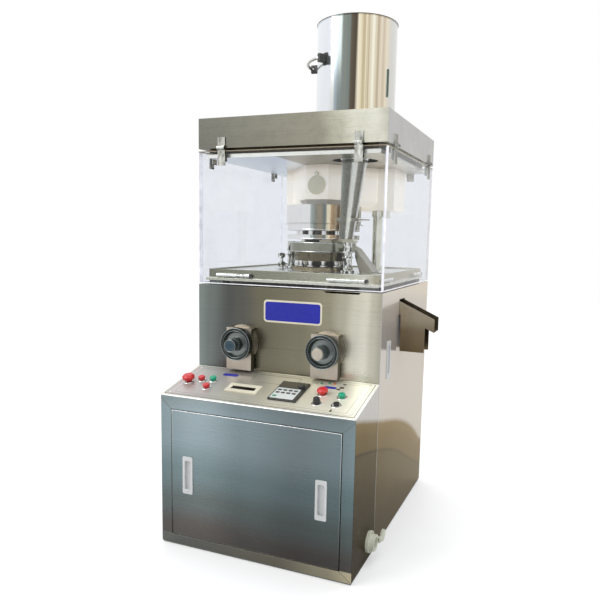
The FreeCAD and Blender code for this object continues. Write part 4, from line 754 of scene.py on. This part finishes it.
# ---------------------------------------------------------------- mesh helpers
def spot(at, out, up=UP):
    """Axes for a piece standing on a face: local z points out of it, local y along up."""
    z = Vector(out).normalized()
    x = Vector(up).cross(z).normalized()
    y = z.cross(x)
    return Matrix.Translation(at) @ Matrix((x, y, z)).transposed().to_4x4()


def loop_at(mesh, at, outline, height):
    return [mesh.verts.new(at @ Vector((x, y, height))) for x, y in outline]


def bridge(mesh, first, second):
    """Four-cornered faces between two closed loops with the same number of points."""
    for index in range(len(first)):
        after = (index + 1) % len(first)
        mesh.faces.new((first[index], first[after], second[after], second[index]))


def add_outline(mesh, at, outline, low, high):
    """A flat plate of this outline, from low to high along the spot's z."""
    foot, head = loop_at(mesh, at, outline, low), loop_at(mesh, at, outline, high)
    mesh.faces.new(list(reversed(foot)))
    mesh.faces.new(head)
    bridge(mesh, foot, head)


def rounded(width, height, radius, steps=6):
    """Corners of a rounded rectangle round the spot, counter-clockwise."""
    points = []
    for quarter, (side, end) in enumerate(((1, 1), (-1, 1), (-1, -1), (1, -1))):
        x, y = side * (width / 2 - radius), end * (height / 2 - radius)
        for step in range(steps + 1):
            turn = math.pi / 2 * (quarter + step / steps)
            points.append((x + radius * math.cos(turn), y + radius * math.sin(turn)))
    return points


def add_ring(mesh, at, outer, inner, low, high):
    """A flat frame between two outlines with the same number of corners."""
    loops = [loop_at(mesh, at, outline, height)
             for outline, height in ((outer, low), (outer, high), (inner, high), (inner, low))]
    for first, second in zip(loops, loops[1:] + loops[:1]):
        bridge(mesh, first, second)


def circle(radius, count):
    turns = (2 * math.pi * index / count for index in range(count))
    return [(radius * math.cos(turn), radius * math.sin(turn)) for turn in turns]


def add_turned(mesh, at, profile, segments=40):
    """A turned solid about the spot's z; profile is (radius, height), closed on the axis."""
    rings = [loop_at(mesh, at, circle(radius, segments) if radius else [(0, 0)], height)
             for radius, height in profile]
    for first, second in zip(rings, rings[1:]):
        for index in range(segments):
            after = (index + 1) % segments
            corners = [first[index % len(first)], first[after % len(first)],
                       second[after % len(second)], second[index % len(second)]]
            corners = [c for n, c in enumerate(corners) if c not in corners[:n]]
            if len(corners) > 2:
                mesh.faces.new(corners)


def bead(radius, height, thick, sides=10):
    """The profile of a round bead turned about an axis."""
    turns = (2 * math.pi * index / sides for index in range(sides + 1))
    return [(radius + thick * math.cos(turn), height + thick * math.sin(turn))
            for turn in turns]


def add_tube(mesh, path, radius, sides=14):
    """A round bar along a path of points, with flat ends."""
    points = [Vector(point) for point in path]
    side = None
    rings = []
    for index, point in enumerate(points):
        ahead = (points[min(index + 1, len(points) - 1)] - points[max(index - 1, 0)]).normalized()
        side = side or ahead.orthogonal().normalized()
        side = (side - ahead * side.dot(ahead)).normalized()
        up = ahead.cross(side)
        rings.append([mesh.verts.new(point + side * x + up * y)
                      for x, y in circle(radius, sides)])
    for first, second in zip(rings, rings[1:]):
        bridge(mesh, first, second)
    mesh.faces.new(list(reversed(rings[0])))
    mesh.faces.new(rings[-1])


def curved(path, steps=8):
    """Points of a smooth curve through a path."""
    points = [Vector(point) for point in path]
    ends = [points[0] * 2 - points[1]] + points + [points[-1] * 2 - points[-2]]
    smooth = []
    for a, b, c, d in zip(ends, ends[1:], ends[2:], ends[3:]):
        for step in range(steps):
            t = step / steps
            smooth.append(0.5 * ((2 * b) + (c - a) * t + (2 * a - 5 * b + 4 * c - d) * t ** 2
                                 + (3 * b - a - 3 * c + d) * t ** 3))
    return smooth + [points[-1]]


def add_screw(mesh, at, radius, head):
    """A low domed screw head with a driver slot raised across it."""
    add_turned(mesh, at, [(0.0, -0.0005), (radius, -0.0005), (radius, head * 0.4),
                          (radius * 0.8, head * 0.85), (radius * 0.45, head), (0.0, head)], 20)
    add_outline(mesh, at, rounded(radius * 1.3, radius * 0.26, radius * 0.1, 2),
                head * 0.9, head * 1.06)


def add_line(mesh, at, start, end, width, height):
    """A straight printed or raised line between two points of a face."""
    first, last = Vector((*start, 0)), Vector((*end, 0))
    along = (last - first).normalized()
    side = Vector((-along.y, along.x, 0)) * (width / 2)
    outline = [(first - side)[:2], (last - side)[:2], (last + side)[:2], (first + side)[:2]]
    add_outline(mesh, at, outline, -0.0001, height)


def mesh_of(name, shapes):
    """A mesh of several shapes, each given as its maker and what that takes."""
    mesh = bmesh.new()
    for maker, *settings in shapes:
        maker(mesh, *settings)
    bmesh.ops.recalc_face_normals(mesh, faces=mesh.faces)
    data = bpy.data.meshes.new(name)
    mesh.to_mesh(data)
    mesh.free()
    return data


def add_bevel(thing, name, width, angle):
    bevel = thing.modifiers.new(name, "BEVEL")
    bevel.width = width
    bevel.segments = 2
    bevel.limit_method = "ANGLE"
    bevel.angle_limit = math.radians(angle)
    return bevel


def piece(name, finish, body, shapes, bevel=0.0):
    """One named piece that rides on a frame body, in its finish's material."""
    data = mesh_of(name, shapes)
    data.polygons.foreach_set("use_smooth", [True] * len(data.polygons))
    data.set_sharp_from_angle(angle=math.radians(35))
    made = bpy.data.objects.new(name, data)
    bpy.context.scene.collection.objects.link(made)
    finish = FINISHES.get(finish, finish)
    data.materials.append(finish.material)
    if bevel:
        add_bevel(made, "rounding", bevel, 35)
    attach(made, body)


FOLDED = ("console_shell", "service_door", "front_panel", "hood", "right_side_panel",
          "table_plate", "side_casing", "discharge_chute", "dial_brackets")


def soften_folds():
    """A small round on the sheet metal's folds, so that they catch the light."""
    for name in FOLDED:
        node = frame["nodes"][name]
        node.modifiers.new("weld", "WELD").merge_threshold = 0.00002
        add_bevel(node, "fold", 0.0012, 50).harden_normals = True


# ---------------------------------------------------------------- floor
def add_floor():
    reach = 9.0
    drop = 0.002
    at = Matrix.Translation((0, 0, cad_box[0].z - drop))
    data = mesh_of("floor", [(add_outline, at, rounded(2 * reach, 2 * reach, 1.0), -0.01, 0.0)])
    floor = bpy.data.objects.new("floor", data)
    bpy.context.scene.collection.objects.link(floor)
    finish = Finish("floor", roughness=0.7, Emission_Color=(1, 1, 1, 1))
    finish.colour(flat(finish, (0.60, 0.60, 0.595), 0.01))
    path = finish.add("ShaderNodeLightPath")
    finish.join(finish.math("MULTIPLY", path.outputs["Is Camera Ray"], 0.36),
                finish.shader.inputs["Emission Strength"])
    data.materials.append(finish.material)


# ---------------------------------------------------------------- console panel
PLATE = 3 * MM
plate_low, plate_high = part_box("console_top")


def console_slope():
    """Angle of the sloping plate, from its box and its thickness."""
    angle = 0.2
    for _turn in range(20):
        rise = plate_high.z - plate_low.z - PLATE * math.cos(angle)
        run = plate_high.y - plate_low.y - PLATE * math.sin(angle)
        angle = math.atan2(rise, run)
    return angle


SLOPE = console_slope()
UPHILL = Vector((0, math.cos(SLOPE), math.sin(SLOPE)))
OUTWARD = Vector((0, -math.sin(SLOPE), math.cos(SLOPE)))
OVERLAY_WIDE, OVERLAY_LONG, OVERLAY_THICK = 0.630, 0.214, 0.0006
CONTROLS = ("red_button", "green_button", "stop_button", "lamp_button", "start_button",
            "selector_knob", "key_switch", "estop_button")


def on_slope(x, up, out=0.0):
    """Axes of a spot on the sloping plate: millimetres across and up the slope."""
    foot = Vector((x * MM, plate_low.y + PLATE * math.sin(SLOPE), plate_low.z))
    return spot(foot + UPHILL * (up * MM) + OUTWARD * (PLATE + out), OUTWARD, UPHILL)


def place_of(control):
    """Where a control stands on the plate: millimetres across and up the slope."""
    low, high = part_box(control)
    centre = (low + high) / 2
    foot = plate_low + Vector((0, PLATE * math.sin(SLOPE), 0))
    return centre.x / MM, (centre - foot).dot(UPHILL) / MM


def overlay_pieces():
    """The printed film on the sloping plate, a painted shadow round its edge and its thin printed
    lines.
    """
    centre = on_slope(0, 115)
    film = rounded(OVERLAY_WIDE, OVERLAY_LONG, 0.004)
    edge = rounded(OVERLAY_WIDE + 0.004, OVERLAY_LONG + 0.004, 0.005)
    piece("console_overlay", OVERLAY, "cabinet",
          [(add_outline, centre, film, -0.0002, OVERLAY_THICK)])
    piece("overlay_shadow_edge", DARK_PRINT_AND_SHADE, "cabinet",
          [(add_ring, centre, edge, film, -0.0002, 0.0003)])
    line = 0.0016
    lines = []
    for inset in (0.016, 0.052):
        wide, high = OVERLAY_WIDE - inset, OVERLAY_LONG - inset * 0.6
        lines.append((centre, rounded(wide, high, 0.003),
                      rounded(wide - line, high - line, 0.0025)))
    lines.append((on_slope(-6, 180), rounded(0.160, 0.058, 0.002),
                  rounded(0.1575, 0.0555, 0.0016)))
    piece("overlay_lines", LINE, "cabinet",
          [(add_ring, *ring, OVERLAY_THICK - 0.0002, OVERLAY_THICK + 0.00015)
           for ring in lines])


def add_plates(name, finish, low, high, plates, bevel=0.0):
    """Flat plates on the panel: millimetres across and up, then width, height and round."""
    piece(name, finish, "cabinet",
          [(add_outline, on_slope(x, up), rounded(*size), low, high)
           for x, up, *size in plates], bevel)


def console_pieces():
    """Display, keypad, labels, screws and lamps, and the bezels under the controls."""
    piece("display_frame", CREAM, "cabinet",
          [(add_ring, on_slope(-78, 94), rounded(0.112, 0.054, 0.003),
            rounded(0.084, 0.022, 0.002), SUNK, 0.0042)], 0.0008)
    add_plates("display_window", GLASS_DARK, SUNK, 0.0022, [(-78, 94, 0.086, 0.024, 0.002)])
    add_plates("drive_keypad", "black_plastic", SUNK, 0.0052,
               [(73, 110, 0.094, 0.126, 0.004)], 0.0012)
    add_plates("keypad_screen", GLASS_DARK, 0.0046, 0.0056,
               [(73, 150, 0.082, 0.034, 0.002)], 0.0003)
    add_plates("keypad_field", KEY_WHITE, 0.0046, 0.0056,
               [(69, 90, 0.078, 0.070, 0.003)], 0.0004)
    add_plates("keypad_keys", KEY_DARK, 0.0052, 0.0068,
               [(42 + 18 * column, 92 + 18 * row, 0.0125, 0.0085, 0.002)
                for row in range(2) for column in range(4)], 0.0006)
    add_plates("keypad_run_key", GREEN, 0.0052, 0.0068, [(42, 68, 0.013, 0.009, 0.002)], 0.0006)
    knob = [(0.0, 0.0048), (0.011, 0.0048), (0.010, 0.012), (0.008, 0.0135), (0.0, 0.0135)]
    piece("keypad_knob", "black_plastic", "cabinet",
          [(add_turned, on_slope(103, 140), knob, 36)], 0.0005)
    add_plates("blue_labels", BLUE, -0.0002, 0.0012,
               [(x, up, wide, high, high / 2.2) for x, up, wide, high in
                ((-170, 178, 0.056, 0.017), (185, 170, 0.042, 0.014))])
    piece("panel_screws", "chrome_fittings", "cabinet",
          [(add_screw, on_slope(x, up, OVERLAY_THICK), 0.0036, 0.0014)
           for x in (-302, 302) for up in (18, 212)])
    lamp = [(0.0, SUNK), (0.0046, SUNK), (0.0046, 0.0016), (0.0034, 0.003), (0.0, 0.0036)]
    for name, finish, places in (("orange_lamps", ORANGE, ((191, 198),)),
                                 ("green_lamps", GREEN, ((148, 192), (173, 198)))):
        piece(name, finish, "cabinet",
              [(add_turned, on_slope(*place), lamp, 24) for place in places])
    add_plates("dark_labels", DARK_PRINT_AND_SHADE, -0.0002, 0.0012,
               [(221, 177, 0.014, 0.010, 0.002), (214, 164, 0.012, 0.008, 0.002),
                (239, 28, 0.005, 0.014, 0.002), (223, 200, 0.010, 0.006, 0.002)])
    inner = 0.0122
    bezel = [(inner, SUNK), (inner + 0.004, SUNK), (inner + 0.004, 0.0014),
             (inner + 0.003, 0.0024), (inner + 0.001, 0.0024), (inner, 0.0014), (inner, SUNK)]
    piece("button_bezels", "chrome_fittings", "cabinet",
          [(add_turned, on_slope(*place_of(control)), bezel, 36) for control in CONTROLS])


def estop_posts():
    """Short bright studs on the plate round the emergency stop's stem, clear of its stroke."""
    x, up = place_of("estop_button")
    post = [(0.0, SUNK), (0.0026, SUNK), (0.0026, 0.0042), (0.0, 0.0042)]
    away = 12.5
    turns = [math.radians(45 + 90 * corner) for corner in range(4)]
    piece("estop_posts", "chrome_fittings", "cabinet",
          [(add_turned, on_slope(x + away * math.cos(turn), up + away * math.sin(turn)), post, 16)
           for turn in turns], 0.0002)


# ---------------------------------------------------------------- doors, pulls and nameplate
def flush_pull(name, centre, out, body):
    """A pressed pull: light rim and light tray in the recess, with a screw at each end."""
    at = spot(centre, out)
    piece(name + "_rim", WHITE, body,
          [(add_ring, at, rounded(0.036, 0.122, 0.004), rounded(0.021, 0.094, 0.005),
            -0.0005, 0.0024)]
          + [(add_screw, at @ Matrix.Translation((0, end, 0.0022)), 0.0026, 0.001)
             for end in (-0.053, 0.053)], 0.0007)
    piece(name + "_tray", WHITE, body,
          [(add_outline, at, rounded(0.028, 0.110, 0.003), -0.0085, -0.0075),
           (add_ring, at, rounded(0.0235, 0.0965, 0.005), rounded(0.0205, 0.0935, 0.005),
            -0.0076, SUNK)])


def fronts():
    """The three flush pulls and the blank nameplate."""
    door_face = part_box("service_door")[0].y
    pull_x, pull_z = 0.226, 0.240
    flush_pull("left_pull", (-pull_x, door_face, pull_z), -REAR, "console_door")
    flush_pull("right_pull", (pull_x, door_face, pull_z), -REAR, "console_door")
    side_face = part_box("right_side_panel")[1].x
    flush_pull("side_pull", (side_face, -0.124, 0.608), RIGHT, "side_panel")
    at = spot((0.027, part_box("front_panel")[0].y, 0.752), -REAR)
    piece("nameplate_back", CREAM, "cabinet",
          [(add_outline, at, rounded(0.206, 0.074, 0.012), SUNK, 0.0012)], 0.0004)
    piece("nameplate_field", BLUE, "cabinet",
          [(add_outline, at, rounded(0.194, 0.062, 0.008), 0.0008, 0.0018)], 0.0004)


def console_trim():
    """A bright rod for the plate's nose under the film, a painted highlight round the door's
    edge, mitred welds and the side seam.
    """
    shell_low, shell_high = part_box("console_shell")
    door_low, door_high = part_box("service_door")
    half, inset, gap, foot, seam_top = shell_high.x, 0.001, 0.003, 0.006, 0.541
    nose = Vector((0, plate_low.y + 0.001, plate_low.z - 0.0005))
    reach = RIGHT * (half - inset)
    # A chrome rod for the plate's rounded nose: a real bend, made bright to carry the highlight
    # along it.
    piece("console_nose", "chrome_fittings", "cabinet",
          [(add_tube, [nose - reach, nose, nose + reach], 0.0016, 16)])
    at = spot((0, door_low.y, (door_low.z + door_high.z) / 2), -REAR)
    wide, high = door_high.x - door_low.x, door_high.z - door_low.z
    # A painted highlight ring round the door's edge.
    piece("door_edge_highlight", DOOR_HIGHLIGHT, "console_door",
          [(add_ring, at, rounded(wide - 0.0002, high - 0.0002, 0.002),
            rounded(wide - 0.004, high - 0.004, 0.0015), SUNK, 0.0006)], 0.0004)
    face = spot((0, shell_low.y, 0), -REAR)
    welds = []
    for side in (-1, 1):
        for outer, inner in ((foot, door_low.z - gap), (shell_high.z - 0.06, door_high.z + gap)):
            welds.append((add_line, face, (side * (half - inset), outer),
                          (side * (door_high.x + gap), inner), 0.0012, 0.0003))
    piece("mitre_welds", LINE, "cabinet", welds)
    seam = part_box("front_panel")[0].y - 0.0012
    piece("side_seam", "chrome_fittings", "cabinet",
          [(add_line, spot((half, 0, 0), RIGHT), (seam, foot), (seam, seam_top), 0.0022, 0.0006)])


# ---------------------------------------------------------------- windows
def catch_knobs():
    """Dark beads at the ends of the catches on the table's rim."""
    low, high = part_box("window_catches")
    knob = [(0.0, -0.001), (0.0058, -0.001), (0.0070, 0.002), (0.0058, 0.006), (0.0, 0.008)]
    inset, height = 0.006, 0.862
    across_front, along_sides = (-0.138, 0.263), (-0.033, 0.387)
    spots = [spot((x, y, height), RIGHT) for x in across_front
             for y in (low.y + inset, high.y - inset)]
    spots += [spot((x, y, height), REAR) for y in along_sides
              for x in (low.x + inset, high.x - inset)]
    piece("catch_knobs", KEY_DARK, "cabinet", [(add_turned, at, knob, 24) for at in spots])


def window_edges():
    """The cut edges of the acrylic, painted pale with a faint painted glow, so that they read as
    pale bands.
    """
    for side in ("front", "rear", "left", "right"):
        low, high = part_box(side + "_window")
        size = high - low
        across, out = (size.x, REAR) if size.x > size.y else (size.y, RIGHT)
        half = min(size.x, size.y) / 2 + 0.0001
        outer, inner = (rounded(across + extra, size.z + extra, 0.001, 2)
                        for extra in (0.0006, -0.0040))
        piece(side + "_window_edges", EDGE, side + "_door",
              [(add_ring, spot((low + high) / 2, out), outer, inner, -half, half)])


# ---------------------------------------------------------------- dials
def dial_pieces():
    """Turned rings on the dials' faces; they ride with the dials."""
    face = [(0.0, 0.0), (0.0178, 0.0), (0.0178, 0.0008), (0.0160, 0.0014), (0.0, 0.0016)]
    behind = 0.060
    for name, hub in (("left_dial", "dial_metal"), ("right_dial", "bracket_steel")):
        low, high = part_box(name)
        centre = (low + high) / 2
        rim = spot((centre.x, low.y + behind, centre.z), -REAR)
        piece(name + "_rings", RING, name,
              [(add_turned, rim, bead(*ring), 64) for ring in
               ((0.0528, 0.0255, 0.0011), (0.0448, 0.0262, 0.0008), (0.0375, 0.0148, 0.0008),
                (0.0196, 0.0600, 0.0012))])
        piece(name + "_hub_face", hub, name,
              [(add_turned, spot((centre.x, low.y, centre.z), -REAR), face, 40)])


# ---------------------------------------------------------------- hopper
def hopper_pieces():
    """Handle, sight glass and weld of the hopper, and a dark bead of painted shade along its
    rolled rim.
    """
    low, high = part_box("hopper")
    centre = (low + high) / 2
    radius = (high.x - low.x) / 2 - 0.002

    def on_wall(azimuth, height, out=0.0):
        """A point on the hopper's wall; azimuth 0 faces the front and grows towards +X."""
        turn = math.radians(azimuth)
        outward = Vector((math.sin(turn), -math.cos(turn), 0))
        return Vector((centre.x, centre.y, height)) + outward * (radius + out), outward

    first, last, height = -88, -31, 1.556
    feet = []
    for azimuth in (first, last):
        at = spot(*on_wall(azimuth, height))
        feet.append((add_outline, at, rounded(0.022, 0.038, 0.004), -0.002, 0.003))
        feet.append((add_outline, at, rounded(0.014, 0.026, 0.003), 0.002, 0.028))
    piece("hopper_handle_feet", KEY_DARK, "cabinet", feet, 0.001)
    bar = [on_wall(azimuth, height, out)[0] for azimuth, out in
           ((first, 0.018), (-84, 0.027), (-72, 0.030), (-60, 0.031), (-47, 0.030),
            (-35, 0.027), (last, 0.018))]
    piece("hopper_handle_bar", "chrome_fittings", "cabinet", [(add_tube, curved(bar), 0.0048)])
    at = spot(*on_wall(68, 1.483))
    piece("sight_glass_frame", "chrome_fittings", "cabinet",
          [(add_ring, at, rounded(0.015, 0.091, 0.0074, 8), rounded(0.012, 0.088, 0.0059, 8),
            -0.002, 0.0014)], 0.0006)
    piece("sight_glass", GLAZED, "cabinet",
          [(add_outline, at, rounded(0.0125, 0.0885, 0.0062, 8), -0.002, 0.0011)])
    seam = [on_wall(160, z, 0.0002)[0] for z in (1.378, 1.45, 1.55, 1.672)]
    piece("hopper_weld", "hopper_steel", "cabinet", [(add_tube, seam, 0.0009, 8)])
    # A dark bead of painted shade along the rolled rim.
    thick = 0.0017
    rim = Matrix.Translation((centre.x, centre.y, high.z - 0.0016))
    piece("hopper_rim_shade_bead", DARK_PRINT_AND_SHADE, "cabinet",
          [(add_turned, rim, bead(radius + 0.0012, 0.0, thick), 96)])


# ---------------------------------------------------------------- chamber
def chamber_pieces():
    """Screws round the turret, bright beads on its edges and the cover's pivot screw."""
    stations, first, screw_height, hub_radius = 12, -98, 0.930, 0.1012
    head = [(0.0, -0.001), (0.0032, -0.001), (0.0032, 0.0012), (0.0022, 0.002), (0.0, 0.002)]
    axis = Vector((0, TURRET_Y, screw_height))
    screws = []
    for station in range(stations):
        turn = math.radians(first + 360 / stations * station)
        outward = Vector((math.cos(turn), math.sin(turn), 0))
        screws.append((add_turned, spot(axis + outward * hub_radius, outward), head, 16))
    piece("station_screws", "black_plastic", "turret", screws)
    axis = Matrix.Translation((0, TURRET_Y, 0))
    piece("turret_beads", "tool_steel", "turret",
          [(add_turned, axis, bead(radius, height, 0.0009, 8), 96) for radius, height in
           ((0.1325, 0.9905), (0.1325, 1.0225), (0.1215, 0.9755), (0.1215, 0.9445))])
    low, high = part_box("inspection_cover")
    at = spot(((low.x + high.x) / 2, low.y, high.z - 0.010), -REAR)
    piece("cover_screw", "chrome_fittings", "cabinet", [(add_screw, at, 0.0042, 0.002)])


# ---------------------------------------------------------------- back and inlet
def add_louvre(mesh, at):
    """One pressed louvre: the section of its shelf drawn out sideways."""
    shelf = [(-0.009, SUNK), (-0.007, 0.004), (0.004, 0.007), (0.008, 0.0064), (0.008, SUNK)]
    near, far = ([mesh.verts.new(at @ Vector((x, y, z))) for y, z in shelf]
                 for x in (-0.09, 0.09))
    mesh.faces.new(near)
    mesh.faces.new(list(reversed(far)))
    bridge(mesh, near, far)


def rear_pieces():
    """Two blocks of louvres in the back panel, for the drive to breathe, and its screws."""
    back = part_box("side_casing")[1].y
    lowest, pitch = 0.16, 0.026
    piece("rear_louvres", "brushed_panel", "cabinet",
          [(add_louvre, spot((column, back, lowest + pitch * row), REAR))
           for column in (-0.15, 0.15) for row in range(7)], 0.0006)
    piece("back_screws", "chrome_fittings", "cabinet",
          [(add_screw, spot((x, back, z), REAR), 0.005, 0.002)
           for x in (-0.30, 0.30) for z in (0.04, 0.42, 0.79)])


def inlet_pieces():
    """A knurled union nut and a flat gasket behind the inlet's cap."""
    low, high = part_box("inlet_socket")
    centre = (low + high) / 2
    radius = (high.z - low.z) / 2

    def along(share):
        return spot((low.x + (high.x - low.x) * share, centre.y, centre.z), RIGHT)

    ribs = 36
    outline = []
    for rib in range(ribs * 2):
        turn = math.pi * rib / ribs
        reach = radius * (1.04 if rib % 2 else 0.98)
        outline.append((reach * math.cos(turn), reach * math.sin(turn)))
    bore = [(x * 0.86, y * 0.86) for x, y in outline]
    piece("inlet_knurl", "inlet_plastic", "cabinet",
          [(add_ring, along(0.45), outline, bore, 0.0, 0.007)], 0.0003)
    inner, outer = radius * 0.80, radius * 1.01
    washer = [(inner, -0.002), (outer, -0.002), (outer, 0.003), (inner, 0.003), (inner, -0.002)]
    piece("inlet_gasket", GASKET, "cabinet", [(add_turned, along(0.30), washer, 48)])


# ---------------------------------------------------------------- build
add_camera()
add_light()
dress_nodes()
soften_folds()
add_floor()
overlay_pieces()
console_pieces()
console_trim()
fronts()
estop_posts()
catch_knobs()
window_edges()
dial_pieces()
hopper_pieces()
chamber_pieces()
rear_pieces()
inlet_pieces()

bpy.context.scene.view_settings.view_transform = "Standard"
